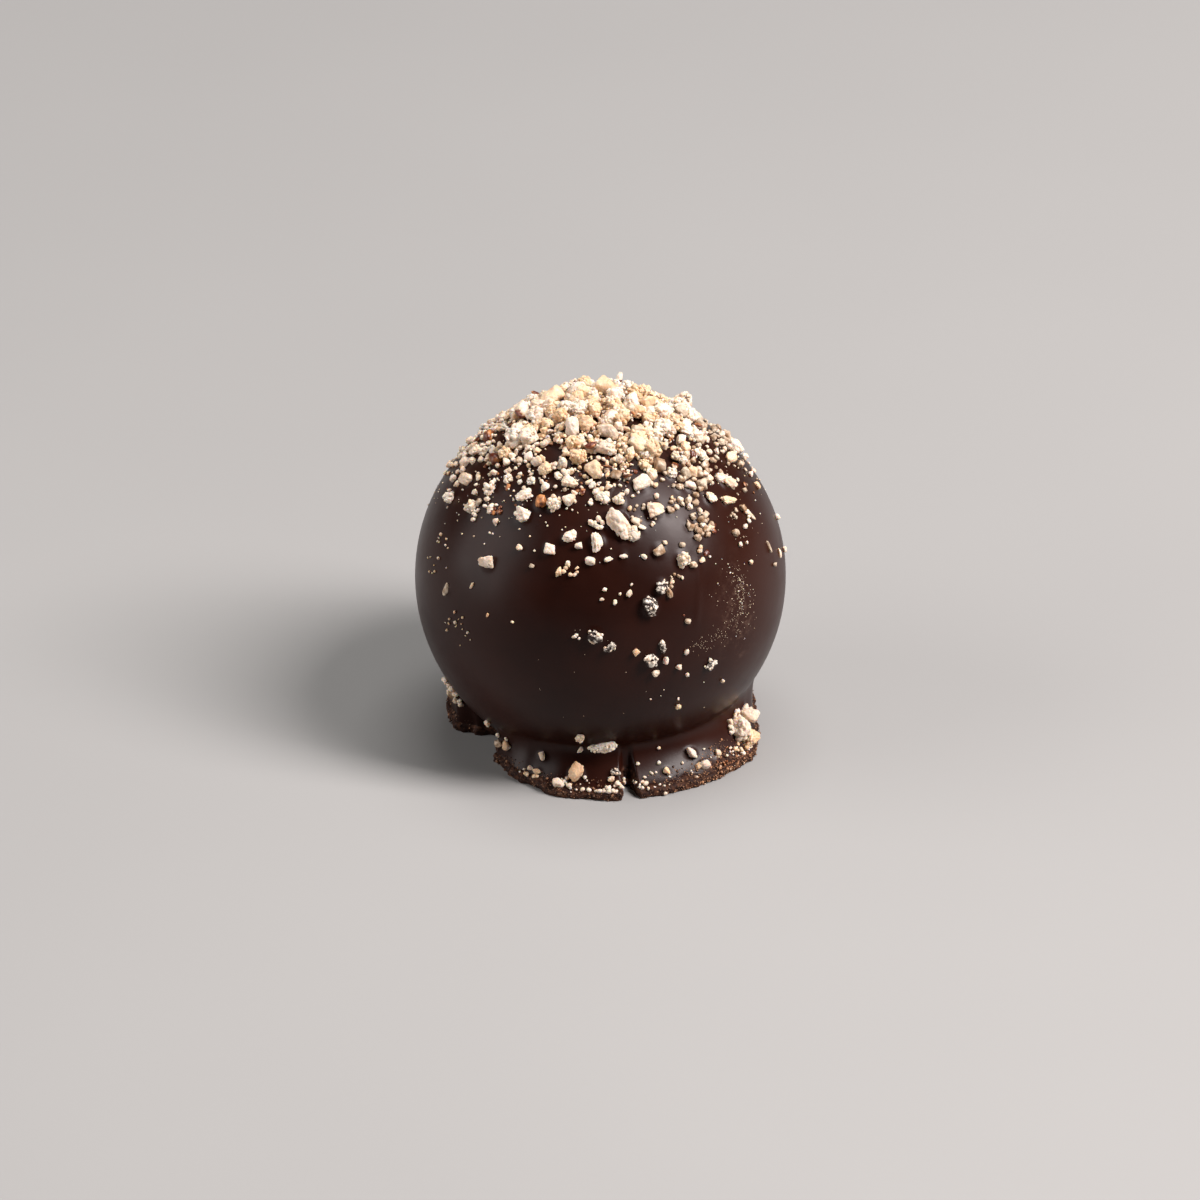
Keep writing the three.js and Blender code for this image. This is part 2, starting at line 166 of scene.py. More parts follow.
# polar angle, azimuth, length, width, turn, how far it stands out (0 for the usual), kind, crumbly or not
LANDMARKS = filled((0, 0, 0, 0, 0, 0, IVORY, 0), [
    (27, 176, 1.3, 1, 0, 0.8, IVORY, 1), (28, 162, 1.2, 1, 30, 0.75, IVORY, 1),
    (29.5, 169, 0.7, 0.55, 90, 1.25), (28, -167, 1.3, 1, 0, 0.75, IVORY, 1),
    (36, 133, 1.7, 1.4, 60, 1.2, IVORY, 1), (48, 105, 1.3, 1, 30),
    (18, -126, 1.95, 1.4, 146, 0.85, GOLDEN), (14.8, -153, 1.6, 1.1, 153, 0.8, IVORY, 1),
    (19.4, -87, 1.6, 1.4, 87, 0.8, IVORY, 1), (14.8, -34, 1.5, 1.1, 114, 0.9),
    (11.1, -22.5, 1.6, 1.3, 22, 0.9, GOLDEN), (8.5, 147, 1.8, 1.5, 123, 0.9, IVORY, 1),
    (15.8, 137, 1.6, 1.4, 103, 0.8, GOLDEN, 1), (14.5, 107, 1.4, 1.3, 118, 0.8, GOLDEN),
    (20.7, 69, 1.7, 1.5, 111, 0.75, IVORY, 1), (27, 69, 1.1, 0.7, 21, 0.6),
    (14.7, 10.4, 1.4, 1, 140, 0.85), (20.9, 5.5, 1.7, 1.4, -15, 0.75, IVORY, 1),
    (24.8, -15.6, 1.4, 1, 15, 0.75, GOLDEN, 1), (28, -4, 1.7, 1.4, -35, 0, GOLDEN),
    (33.5, -16.5, 1.3, 0.9, -15), (34, 23, 1.6, 1.1, 10),
    (36, -68, 1.1, 1, 0, 0, SKIN), (36, -93, 1.1, 0.9, 0, 0, SKIN),
    (39.5, -15, 0.9, 0.9), (41, -21, 1.25, 1, 100, 0, IVORY, 1),
    (41, -37, 1.3, 0.9, 40), (41.5, -27.5, 1, 0.9, 60, 0, SKIN),
    (43.5, 24.5, 1.25, 1.2), (44, -56, 1.2, 0.9, 100, 0, IVORY, 1),
    (44, 88, 1.4, 0.8, -30, 0, GOLDEN), (45.5, 69, 2, 0.9, -60),
    (46.5, 7.5, 2.6, 1.4, -63, 0.95), (50, 13, 1, 0.7, -70),
    (47, -33.5, 1.15, 1.05), (47, -73, 1, 1),
    (50, 62, 1.5, 0.7, -30, 0, GOLDEN), (50.5, -12, 1.1, 0.9, 10),
    (51.5, -59, 1.1, 0.8, 80, 0, IVORY, 1), (52, -1, 1.5, 0.9, 90),
    (55, -18.5, 0.85, 0.8), (55, -75, 1, 0.9, 20, 0, IVORY, 1),
    (56, 22, 1, 0.7, 20, 0, GLAZED), (57.5, -3.5, 0.75, 0.7),
    (60, 30, 1, 1, 0, 0, IVORY, 1), (61.5, -14, 0.8, 0.45, 75, 0, GOLDEN),
    (64, -41, 1.3, 0.9, 25), (67, 20.5, 1, 0.9, 0, 0, FILMED),
    (69, 23, 0.75, 0.5, 100, 0, GLAZED), (72, 16, 1.5, 1, 100, 0, FILMED),
    (80.5, -1.5, 1.1, 0.9, 0, 0, FILMED), (84, 3, 0.75, 0.5, 30, 0, FILMED),
    (85.5, 19, 0.9, 0.45, 95, 0, FILMED), (89, 15.5, 0.9, 0.9, 0, 0, FILMED),
    (94, 17, 0.6, 0.5, 0, 0, GLAZED), (96, 36, 1.1, 0.5, 10, 0, FILMED),
    (121, -7, 0.7, 0.65, 0, 0, IVORY, 1), (125.8, 1, 2.5, 0.75, 14, 0.6, IVORY, 1),
    (124, -74, 0.75, 0.5, 120, 0, GLAZED), (132, -78, 0.8, 0.6, 90, 0, GLAZED),
    (137, -22.5, 0.7, 0.5, 110), (138, 60, 1.9, 1.3, 60, 1),
    (136, 67, 1.4, 1.1, -20, 0.9), (146, 61, 1.3, 1, 30, 0.8, GOLDEN),
    (138.5, 35.5, 1.05, 0.65, 110), (139, -39.5, 0.75, 0.6, 90, 0, GOLDEN),
    (140.5, -45, 0.85, 0.5, 0, 0, GLAZED), (141.5, -8.5, 1.4, 1, 65, 0, GOLDEN),
    (142.5, 45.5, 0.65, 0.5, 110), (145, 38, 0.9, 0.7, -20),
    (147, -14, 0.9, 0.7, 10),
])

# Spots of the cap without nut, as in the solid: polar angle, azimuth, radius.
BARE_SPOTS = np.array([
    [9.6, -107, 0.8], [25, -37, 1.1], [12.6, 54, 0.9], [27, 48, 0.8], [31, -84, 0.9],
    [35, -150, 1.2], [41, 172, 1], [40, 118, 1.1], [52, -122, 1.3],
])

# Finer pieces that lie by themselves: polar angle, azimuth, length, width, turn, kind
SINGLES = filled((0, 0, 0, 0, 0, IVORY), [
    (53, -8, 0.55, 0.5), (37.5, 0, 0.7, 0.65), (36.8, 3.5, 0.6, 0.4, 90),
    (39, 9, 0.95, 0.8, -50), (56.5, -30, 0.5, 0.45), (61, -24, 0.35, 0.3, 0, GLAZED),
    (51.5, -44, 0.5, 0.4, 60), (48, 17, 0.7, 0.35, -40), (46, 15, 0.75, 0.5, -30, GLAZED),
    (57, 3, 0.65, 0.35, 15), (56.3, 8.5, 0.6, 0.35, 10), (57, 16, 0.5, 0.3, -50),
    (54, 25, 0.35, 0.35), (66, 1.5, 0.35, 0.3), (69, 0.5, 0.35, 0.25, 20),
    (70, 4.8, 0.42, 0.3, 90), (67.5, 6.5, 0.25, 0.2, 70), (67.5, 9.6, 0.55, 0.4, 60),
    (65, 10.5, 0.25, 0.18, 60), (79, 28, 0.5, 0.42, 0, GLAZED), (77, 27, 0.2, 0.2, 0, SKIN),
    (86, 11, 0.5, 0.45, 30, GOLDEN), (89.7, 20, 0.42, 0.6), (93.4, 24.4, 0.45, 0.42),
    (88.8, 27, 0.5, 0.35, 70), (97, 27.5, 0.3, 0.28), (104.5, 42, 0.25, 0.32),
    (104, 16, 0.17, 0.17), (106, 25.5, 0.2, 0.2), (109.5, 26, 0.45, 0.35, 30, GOLDEN),
    (133, 23, 0.3, 0.25, 20), (138, 14, 0.32, 0.28), (139, 22, 0.32, 0.28, 60),
    (143, 24, 0.6, 0.5, -50, GOLDEN), (144.5, 36, 0.5, 0.48, 0, GOLDEN), (131, -7.5, 0.55, 0.35, 70),
    (140.5, 5.5, 0.7, 0.5, -20, FILMED), (143.5, 3.8, 0.5, 0.45), (145.5, 6, 0.5, 0.45),
    (144, -11.5, 0.35, 0.3, 30), (144.5, -26.5, 0.42, 0.38), (145, -23.5, 0.7, 0.45, 0, GOLDEN),
    (128.5, -50, 0.5, 0.45), (77, 80, 0.8, 0.3, 80), (71.5, 94, 0.5, 0.4, 80),
    (80, 88, 0.5, 0.35, 80), (78, -56, 1.1, 0.45, 85, GLAZED), (72.5, -45, 0.55, 0.2, 70, GOLDEN),
    (79.3, -28, 0.25, 0.2, 0, GOLDEN), (79.5, -37, 0.35, 0.2, 80, GOLDEN), (64, 60, 0.25, 0.25),
    (62, 41, 0.2, 0.2), (46.3, 53.4, 1, 0.75, -44), (58.5, 69.7, 1.14, 0.3, -74),
    (54.9, 66.8, 0.58, 0.5, -94, GLAZED), (59.6, 62.7, 0.42, 0.38, -26), (63.1, 56.3, 0.4, 0.36, -24),
    (69.8, 58, 0.4, 0.35, -24), (71, 72.5, 0.96, 0.32, -100, GLAZED), (77.3, 72.7, 0.5, 0.3, -16, GLAZED),
    (57, 89.8, 0.78, 0.43, -80, GOLDEN), (35.3, 69.3, 1.2, 0.7, -129), (36.6, 54.8, 0.88, 0.8, -63, GOLDEN),
    (59.2, 56.2, 0.62, 0.5, -58, GLAZED), (60.6, 40.1, 0.55, 0.38, 15, SKIN), (62.2, 37.4, 0.52, 0.36, 27),
    (62.5, 33.5, 0.6, 0.48, -15, GLAZED), (61.3, 29.3, 0.8, 0.6, -83), (55.9, 31.5, 0.45, 0.4, -15, GLAZED),
    (50.9, 37, 0.93, 0.45, -93, GLAZED),
])

# Flakes of skin on the heap: polar angle, azimuth, length, width, turn, lift
HEAP_SKINS = np.array([
    [20.9, -7.3, 1, 0.5, 35, 0.62], [19.9, 36.3, 0.7, 0.28, 60, 0.6],
    [31.8, 15.7, 0.9, 0.32, -25, 0.42], [28.3, 4.1, 0.9, 0.25, -20, 0.55],
    [24.3, -94.9, 0.95, 0.75, 60, 0.45], [17, 118, 0.7, 0.35, 10, 0.65],
    [11, 60, 0.6, 0.3, -40, 0.7], [27, -62, 0.6, 0.35, 30, 0.45],
    [24, 168, 0.9, 0.45, 20, 0.55], [31, -140, 0.8, 0.4, -30, 0.45],
    [31, 95, 0.8, 0.4, 50, 0.4],
])

# Loose clusters: polar angle, azimuth, spread in degrees, count, least and largest size, kind if not ivory
CLUSTERS = [
    (52, 42, 4.4, 23, 0.3, 0.6, GLAZED), (54.5, 47, 1.2, 3, 0.4, 0.65, SKIN),
    (42, 43, 6.5, 24, 0.28, 0.6, GLAZED), (38, 62, 8, 26, 0.3, 0.65, GLAZED),
    (45, 20, 4.5, 12, 0.24, 0.45, GLAZED), (46, -1, 2, 8, 0.36, 0.55),
    (49.5, 13, 1.6, 5, 0.4, 0.65), (60.5, -10, 2.6, 8, 0.3, 0.5, GOLDEN),
    (61.5, 31, 2, 8, 0.26, 0.45), (58, 37, 1.8, 4, 0.32, 0.46, GOLDEN),
    (66, 26, 2.5, 7, 0.2, 0.4, GLAZED), (72, 16, 2.4, 9, 0.16, 0.38),
    (67, 21, 2.2, 7, 0.15, 0.32), (80.5, -1.5, 2.4, 10, 0.14, 0.34),
    (81.5, -7.3, 1.4, 4, 0.16, 0.34), (84, 3, 1.6, 5, 0.14, 0.36),
    (88.5, 15, 1.9, 8, 0.14, 0.3, GLAZED), (96.3, 36, 2.4, 8, 0.14, 0.3),
    (54.5, 61, 1.8, 5, 0.28, 0.42, GLAZED), (57.5, 67, 1.8, 5, 0.26, 0.42),
    (53, -57, 2.2, 7, 0.3, 0.48), (48, -50, 2.6, 7, 0.26, 0.46),
    (48.5, -46, 1.6, 5, 0.3, 0.5, SKIN), (53, -77, 3, 9, 0.28, 0.5),
    (88, -49, 6.5, 16, 0.12, 0.3, GOLDEN), (71, -66, 7, 15, 0.12, 0.28, GOLDEN),
    (72, 48, 9, 14, 0.08, 0.16), (76, 47, 10, 34, 0.045, 0.08, GLAZED),
    (80, 52, 5, 36, 0.045, 0.1, GLAZED), (87, 51, 6, 26, 0.045, 0.08, GLAZED),
    (62, 60, 9, 16, 0.045, 0.09, GLAZED), (96, -2, 19, 14, 0.05, 0.08, GLAZED),
    (121, -72, 2.6, 10, 0.3, 0.6), (127, -76, 2.8, 10, 0.3, 0.65),
    (134, -79, 4, 14, 0.25, 0.6), (146, 150, 5, 9, 0.25, 0.6),
    (147, 118, 4, 6, 0.2, 0.5, GOLDEN), (147, -150, 4, 8, 0.22, 0.55),
    (140, -172, 5, 5, 0.25, 0.5), (148, -118, 5, 6, 0.2, 0.45, GOLDEN),
    (122, 165, 10, 7, 0.2, 0.45), (149, 14.5, 2.2, 9, 0.22, 0.42),
    (149, 5, 2.4, 12, 0.22, 0.45), (149, -28, 3, 7, 0.2, 0.4, GOLDEN),
    (149, -6, 6, 10, 0.18, 0.36), (138, -42, 3.5, 6, 0.22, 0.42),
    (136, 63, 5.5, 26, 0.35, 0.75), (144, 60, 5, 30, 0.22, 0.45, GOLDEN),
    (147, 54, 6, 30, 0.16, 0.34, SKIN), (144, 42, 8, 10, 0.14, 0.28),
    (147, -5, 7, 14, 0.18, 0.4), (147, 18, 5, 9, 0.16, 0.34),
    (108, 30, 12, 4, 0.08, 0.15),
]
CLUSTER_OWN_KIND = 0.75

# Fine dust along an arc at the right of the front: polar angle, azimuth
DUST_ARC = np.array([
    [71, 52.8], [77.9, 52.4], [83.2, 50.1], [86.3, 44.4], [87.8, 37.2], [87.3, 32.4],
])
DUST_COUNT, DUST_BUNCHING = 210, 1.3
DUST_SPREAD, DUST_DRIFT = 1.5, 2.4
DUST_SIZES, DUST_SLIMNESS, DUST_RISE = (0.035, 0.07), 0.8, 0.6

# The heap on top, layer by layer: count, radius in degrees, lift, least and largest size
HEAP_LAYERS = (
    (640, 37, 0.05, 0.24, 0.64),
    (190, 33, 0.20, 0.45, 1.15),
    (155, 30, 0.34, 0.80, 1.70),
    (480, 31, 0.44, 0.15, 0.40),
)
HEAP_POLAR = 4
HEAP_FULL = 0.72
HEAP_LIFTS = (0.6, 1.2)
HEAP_CLEARANCE = 0.4
HEAP_END = 25
MARK_LIFT = 0.2

# Finer grains between the larger ones: count, least and largest size, degrees from the cap's middle
# to where they start to thin, and to where they end
FINE_LAYERS = ((1500, 0.2, 0.5, 36, 58), (2400, 0.07, 0.21, 40, 74))
FINE_BUNCHING = 1.6
RIGHT_THINNING = 0.55

# The mix of kinds, in degrees from the top and in shares of the pieces
WARM_ZONE = (18, 38)
GLAZED_ZONE = (24, 40)
GLAZED_SIDE = (0.1, 0.5)
GOLDEN_LEAST, GOLDEN_MORE = 0.10, 0.36
GLAZED_LEAST, GLAZED_MORE = 0.07, 0.5
SKIN_SHARE = 0.11
SKIN_MOST = 0.62

# Chopped pieces: how bunched at the small end their sizes are, and their least width and rise
CHOP_BUNCHING = 1.5
CHOP_SLIMNESS = (0.6, 1)
CHOP_RISE = 0.66
FLAKE_RISE = 0.4
FLAKE_THINNESS = 0.55

# How deep pieces sit: coarse ones on the ball, and fine ones and those on the foot
COARSE_LENGTH = 0.7
FOOT_POLAR = 100
COARSE_SUNK = 0.32
FINE_SUNK = 0.2

# A broken lump: flat breaks all round, and on the coarser ones domes of grain
BREAKS = 10
BREAK_STRAY = 0.36
BREAK_DISTANCES = (0.72, 1.12)
CRISPNESS = 14.0
SPIKE = 1.42
GRAIN_STRAY = 0.1
GRAIN_WIDTH = 0.42
GRAIN_LEVEL = 0.7
GRAININESS = (0.30, 0.12)
ROUGHNESS = 0.09
ROUGH_FINENESS = 2.6
ROUGH_SEED, MOTTLE_SEED = 6, 5
FULLNESS = 0.86
NOISE_SPAN = 40
TONE_SPREAD = 0.24
TINT_STRENGTHS = (0.84, 1.02)

# Granules on crumbly pieces: how many for each square millimetre and at least, and their sizes
CRUMBLY_ZONE = 36
CRUMBLY_ON_TOP, CRUMBLY_BELOW = 0.62, 0.35
CRUMBLY_LEAST = 0.62
CRUMBLY_CORE = 0.9
GRANULE_SHARE = 14
GRANULES_LEAST = 6
GRANULE_SIZES = (0.17, 0.45)
GRANULE_BUNCHING = 1.4
GRANULE_SLIMNESS = (0.65, 1)
GRANULE_DEPTHS = (0.78, 0.98)
GRANULES_FROM = -0.35
GRANULE_TONES = 0.3
CHIP_SIZE = 0.8
PALE_CHIPS = 0.5
PALE_CRUMBS = 0.08

# Seeds, and the numbers of the noise
NUTS_SEED, FRAMES_SEED, DUST_SEED, CRUMBLY_SEED, LUMPS_SEED = 9, 77, 61, 55, 100
HASH_PRIMES = (73856093, 19349663, 83492791)
HASH_STEP, HASH_FACTOR = 40503, 1274126177
HASH_WORD, HASH_END = 0xFFFFFFFF, 0xFFFF

# Axes that are never along the middle of a round patch
PATCH_AXIS, PATCH_TOP_AXIS = (0.3, 0.2, 1.0), (1.0, 0, 0)
PATCH_TOP = 0.9

# Colours of the chocolate and the floor, and the sockets of a colour mix
DARKER, LIGHTER = (0.013, 0.0030, 0.0016), (0.024, 0.0055, 0.0028)
# The warmer brown mixed into the coat at the right: painted rim light, not the chocolate's own colour
PAINTED_RIM_LIGHT_COLOUR = (0.028, 0.0068, 0.0033)
BROKEN_DARK, BROKEN_LIGHT = (0.016, 0.0046, 0.0026), (0.14, 0.055, 0.027)
SMEAR = (0.17, 0.10, 0.07)
FLOOR_DARKER, FLOOR_LIGHTER = (0.305, 0.302, 0.298), (0.325, 0.322, 0.317)
MIX_SOCKETS, MIX_RESULT = (0, 6, 7), 2

# The pieces that hold nut: name, kinds, least size, largest size, mesh level, grains, material
NUT_PIECES = (
    ("nut_large", PALE, 0.85, 9, 4, 80, "nut"),
    ("nut_medium", PALE, 0.45, 0.85, 3, 26, "nut"),
    ("nut_small", PALE, 0.2, 0.45, 2, 0, "nut"),
    ("nut_specks", PALE, 0, 0.2, 1, 0, "nut"),
    ("nut_skin", (SKIN,), 0.3, 9, 3, 20, "skin"),
    ("nut_skin_small", (SKIN,), 0, 0.3, 1, 0, "skin"),
    ("nut_glazed", (GLAZED,), 0.5, 9, 3, 20, "glazed"),
    ("nut_glazed_small", (GLAZED,), 0, 0.5, 2, 0, "glazed"),
    ("nut_filmed", (FILMED,), 0, 9, 4, 30, "filmed"),
)

# The studio: each light's name, direction, distance, width and height, power and colour
LIGHTS = (
    ("left_softbox", (-0.92, -0.12, 0.36), 0.6, (0.46, 0.50), 2.3, (1.0, 0.965, 0.95)),
    ("right_softbox", (0.65, -0.22, 0.73), 0.6, (0.17, 0.36), 7.0, (1.0, 0.94, 0.925)),
    ("top_softbox", (0.05, 0.25, 0.97), 0.7, (0.40, 0.36), 2.4, (1.0, 0.975, 0.955)),
)
AMBIENT = 0.04
CAMERA_ELEVATION, CAMERA_DISTANCE, CAMERA_CLIP = 28.5, 0.607, (0.02, 10)
AIM_BELOW, VIEW_WIDTH, SENSOR_WIDTH = 0.00182, 0.0873, 36.0
FLOOR_SIZE = 3.0


# Steps, draws and angles


def smooth_step(low, high, value):
    t = np.clip((value - low) / (high - low), 0.0, 1.0)
    return t * t * (3 - 2 * t)


def hump(value, middle, width, power=2):
    """A hump of height 1 round the middle. A higher power makes it flatter on top."""
    return np.exp(-(((value - middle) / width) ** power))


def humps(value, places):
    return sum(height * hump(value, *place) for height, *place in places)


def drawn(draw, span, shape, bunching=1):
    """Random values from the span's first end to its second, bunched at the first."""
    return span[0] + (span[1] - span[0]) * draw.random(shape) ** bunching


def unit(vectors):
    return vectors / np.linalg.norm(vectors, axis=-1, keepdims=True)


def wrapped(azimuth):
    return (azimuth + HALF_TURN) % (2 * HALF_TURN) - HALF_TURN


def direction_at(azimuth, polar):
    a = azimuth * RADIANS
    p = polar * RADIANS
    return np.stack([np.sin(p) * np.sin(a), -np.sin(p) * np.cos(a), np.cos(p)], -1)


def angles_of(d):
    return np.arccos(np.clip(d[..., 2], -1, 1)) / RADIANS, np.arctan2(d[..., 0], -d[..., 1]) / RADIANS


# Noise


def cell_number(cells, seed):
    """A number from 0 to 1 for each whole-number cell."""
    x, y, z = (cells[..., axis] * prime for axis, prime in enumerate(HASH_PRIMES))
    n = (x ^ y ^ z ^ (seed * HASH_STEP)) & HASH_WORD
    n = ((n ^ (n >> 13)) * HASH_FACTOR) & HASH_WORD
    n = n ^ (n >> 16)
    return (n & HASH_END) / HASH_END


def noise(points, size, seed):
    """Smooth noise from -1 to 1, with lumps of about the given size."""
    p = points / size
    base = np.floor(p).astype(np.int64)
    f = p - base
    f = f * f * (3 - 2 * f)
    total = 0.0
    for corner in range(8):
        step = np.array([corner & 1, corner >> 1 & 1, corner >> 2 & 1])
        weight = np.prod(np.where(step == 1, f, 1 - f), axis=-1)
        total = total + weight * cell_number(base + step, seed)
    return 2 * total - 1


def layered_noise(points, layers):
    return sum(height * noise(points, size, seed) for height, size, seed in layers)


# The ball and its foot


def swell_at(d):
    """Slow waves all over the ball, as in the solid."""
    x, y, z = d[..., 0], d[..., 1], d[..., 2]
    wide = np.sin(2.1 * x + 3.3 * z + 0.4) + np.sin(2.7 * y - 1.9 * x + 2.0)
    close = np.sin(5.3 * x + 1.7 * y + 1.1) * np.sin(4.1 * z - 2.3 * y)
    return SWELL * (0.45 * wide + 0.4 * close)


def foot_at(azimuth):
    """The foot's reach and the height at which it leaves the ball, as in the solid."""
    index = np.searchsorted(FOOT_OUTLINE[:, 0], azimuth)
    index = np.clip(index, 1, len(FOOT_OUTLINE) - 1)
    high, low = FOOT_OUTLINE[index], FOOT_OUTLINE[index - 1]
    share = smooth_step(low[..., 0], high[..., 0], azimuth)
    a = azimuth * RADIANS
    wave = 0.5 * np.sin(7 * a + 0.6) + 0.3 * np.sin(13 * a) + 0.2 * np.sin(19 * a)
    crack = 1 - smooth_step(CRACK_FLAT, CRACK_HALF_WIDTH, np.abs(azimuth - CRACK_AZIMUTH))
    reach = low[..., 1] + (high[..., 1] - low[..., 1]) * share
    leave = low[..., 2] + (high[..., 2] - low[..., 2]) * share
    return reach + RIM_WAVE * wave - CRACK_DEPTH * crack, leave


def leaving_polar(azimuth):
    return np.arccos((foot_at(azimuth)[1] - CENTRE_HEIGHT) / BALL_RADIUS) / RADIANS


def ball_point(azimuth, polar):
    d = direction_at(azimuth, polar)
    points = d * (BALL_RADIUS + swell_at(d))[..., None]
    points[..., 2] += CENTRE_HEIGHT
    return points


def ring_point(azimuth, reach, height):
    a = azimuth * RADIANS
    return np.stack([reach * np.sin(a), -reach * np.cos(a), height], -1)


def foot_point(azimuth, share):
    """The foot's top, from the ball's side, share 0, to the rim, share 1."""
    polar = leaving_polar(azimuth)
    start = ball_point(azimuth, polar)
    r0, z0 = np.hypot(start[..., 0], start[..., 1]), start[..., 2]
    r3 = foot_at(azimuth)[0] - RIM_ROUND
    z3 = np.minimum(RIM_HEIGHT, RIM_SHARE * z0)
    drop = FOOT_DROP * (z0 - z3)
    spread = FOOT_SPREAD * np.maximum(drop, r3 - r0)
    flare = smooth_step(FLARE_START, FLARE_REACH, r3 - r0)
    slope = (90 + (RIM_SLOPE - 90) * flare) * RADIANS
    r1 = r0 + drop * np.cos(polar * RADIANS)
    z1 = z0 - drop * np.sin(polar * RADIANS)
    r2 = r3 - spread * np.cos(slope)
    z2 = z3 + spread * np.sin(slope)
    t = share
    w0, w1, w2, w3 = (1 - t) ** 3, 3 * t * (1 - t) ** 2, 3 * t * t * (1 - t), t**3
    reach = w0 * r0 + w1 * r1 + w2 * r2 + w3 * r3
    height = w0 * z0 + w1 * z1 + w2 * z2 + w3 * z3
    return ring_point(azimuth, reach, height)


def surface_at(azimuth, polar):
    """The surface where a nut lies. Past the polar angle where the foot leaves, the scale runs to the rim."""
    leaving = leaving_polar(azimuth)
    share = np.clip((polar - leaving) / (RIM_POLAR - leaving), 0, 1)
    on_ball = (polar <= leaving)[..., None]
    ball = ball_point(azimuth, np.minimum(polar, leaving))
    return np.where(on_ball, ball, foot_point(azimuth, share))


def normal_at(azimuth, polar):
    down = surface_at(azimuth, polar + NORMAL_STEP) - surface_at(azimuth, polar - NORMAL_STEP)
    ahead = surface_at(wrapped(azimuth + NORMAL_STEP), polar)
    behind = surface_at(wrapped(azimuth - NORMAL_STEP), polar)
    return unit(np.cross(down, ahead - behind))


# Where the nut lies


def cap_nuts():
    """The cap's pieces, as in the solid: polar angle, azimuth, length, width, turn."""
    state = CAP_SEED

    def draw():
        nonlocal state
        state = (state * DRAW_FACTOR) % DRAW_END
        return state / DRAW_END

    depth = 1 - math.cos(CAP_END * RADIANS)
    tilt_cos, tilt_sin = math.cos(CAP_TILT * RADIANS), math.sin(CAP_TILT * RADIANS)
    nuts = []
    for i in range(CAP_SPOTS):
        drop = depth * (i + CAP_STRAY_LEAST + CAP_STRAY * draw()) / CAP_SPOTS
        turn = i * GOLDEN_ANGLE + CAP_TURN_STRAY * draw()
        keep = draw()
        full = NUT_LEAST + NUT_RANGE * draw() ** NUT_BUNCHING
        slimness = CAP_SLIMMEST + (1 - CAP_SLIMMEST) * draw()
        spin = HALF_TURN * draw()
        away = math.acos(1 - drop) / RADIANS
        if keep > 1 - smooth_step(CAP_FULL, CAP_END, away):
            continue
        size = full * (1 - NUT_SHRINK * away / CAP_END)
        side = math.sin(away * RADIANS)
        x, y, z = side * math.sin(turn), -side * math.cos(turn), 1 - drop
        y, z = y * tilt_cos + z * tilt_sin, z * tilt_cos - y * tilt_sin
        nuts.append([math.acos(z) / RADIANS, math.atan2(x, -y) / RADIANS, size, size * slimness, spin])
    return np.array(nuts)


def gaps(nuts, others):
    at = surface_at(nuts[:, 1], nuts[:, 0])
    there = surface_at(others[:, 1], others[:, 0])
    return np.linalg.norm(at[:, None] - there[None], axis=-1)


def clear_of(nuts, others, clearance):
    reach = clearance * (nuts[:, None, 2] + others[None, :, 2])
    return nuts[(gaps(nuts, others) > reach).all(axis=1)]


def outside_spots(nuts, share=1.0):
    """The nuts that lie outside the bare spots, or outside a share of their radius."""
    reach = np.reshape(share, (-1, 1)) * BARE_SPOTS[None, :, 2] + SPOT_CLEARANCE * nuts[:, None, 2]
    return nuts[(gaps(nuts, BARE_SPOTS) >= reach).all(axis=1)]


def near_spots(draw, nuts):
    """The nuts that lie outside the bare spots, whose edges are ragged."""
    return outside_spots(nuts, drawn(draw, SPOT_SHARES, len(nuts)))


def scatter(draw, middle_polar, middle_azimuth, radius, count):
    """Spots spread evenly over a round patch: polar angle, azimuth, degrees from the patch's middle."""
    away = np.arccos(1 - (1 - math.cos(radius * RADIANS)) * draw.random(count))
    turn = 2 * math.pi * draw.random(count)
    middle = direction_at(np.array(float(middle_azimuth)), np.array(float(middle_polar)))
    across = unit(np.cross(middle, PATCH_AXIS if middle[2] < PATCH_TOP else PATCH_TOP_AXIS))
    other = np.cross(middle, across)
    d = np.cos(away)[:, None] * middle
    d = d + np.sin(away)[:, None] * (np.cos(turn)[:, None] * across + np.sin(turn)[:, None] * other)
    return *angles_of(d), away / RADIANS


def glazed_share(polar, azimuth):
    """How much of the nut is thinly glazed: none on top and at the left, all of it at the right."""
    return smooth_step(*GLAZED_SIDE, direction_at(azimuth, polar)[:, 0]) * smooth_step(*GLAZED_ZONE, polar)


def kinds_for(draw, polar, azimuth, size):
    """Golden and ivory on top, ivory at the left, glazed at the right. Large pieces have lost their skin."""
    pick = draw.random(len(polar))
    warm = 1 - smooth_step(*WARM_ZONE, polar)
    kind = np.where(pick < GOLDEN_LEAST + GOLDEN_MORE * warm, GOLDEN, IVORY)
    kind = np.where(pick > 1 - SKIN_SHARE, SKIN, kind)
    glazed = GLAZED_LEAST + GLAZED_MORE * glazed_share(polar, azimuth)
    kind = np.where(draw.random(len(polar)) < glazed, GLAZED, kind)
    return np.where((kind == SKIN) & (size > SKIN_MOST), IVORY, kind)


def rows(*fields):
    """Nuts, one in each row: polar angle, azimuth, length, width, turn, rise, kind, lift."""
    return np.column_stack(np.broadcast_arrays(*fields)).astype(float)


def chopped(draw, count, span, bunching=CHOP_BUNCHING):
    """The lengths and widths of chopped pieces, most of them small."""
    size = drawn(draw, span, count, bunching)
    return size, size * drawn(draw, CHOP_SLIMNESS, count)


def chopped_rows(draw, polar, azimuth, size, width, kind, lift=0):
    turn = HALF_TURN * draw.random(len(polar))
    return rows(polar, azimuth, size, width, turn, CHOP_RISE * width, kind, lift)


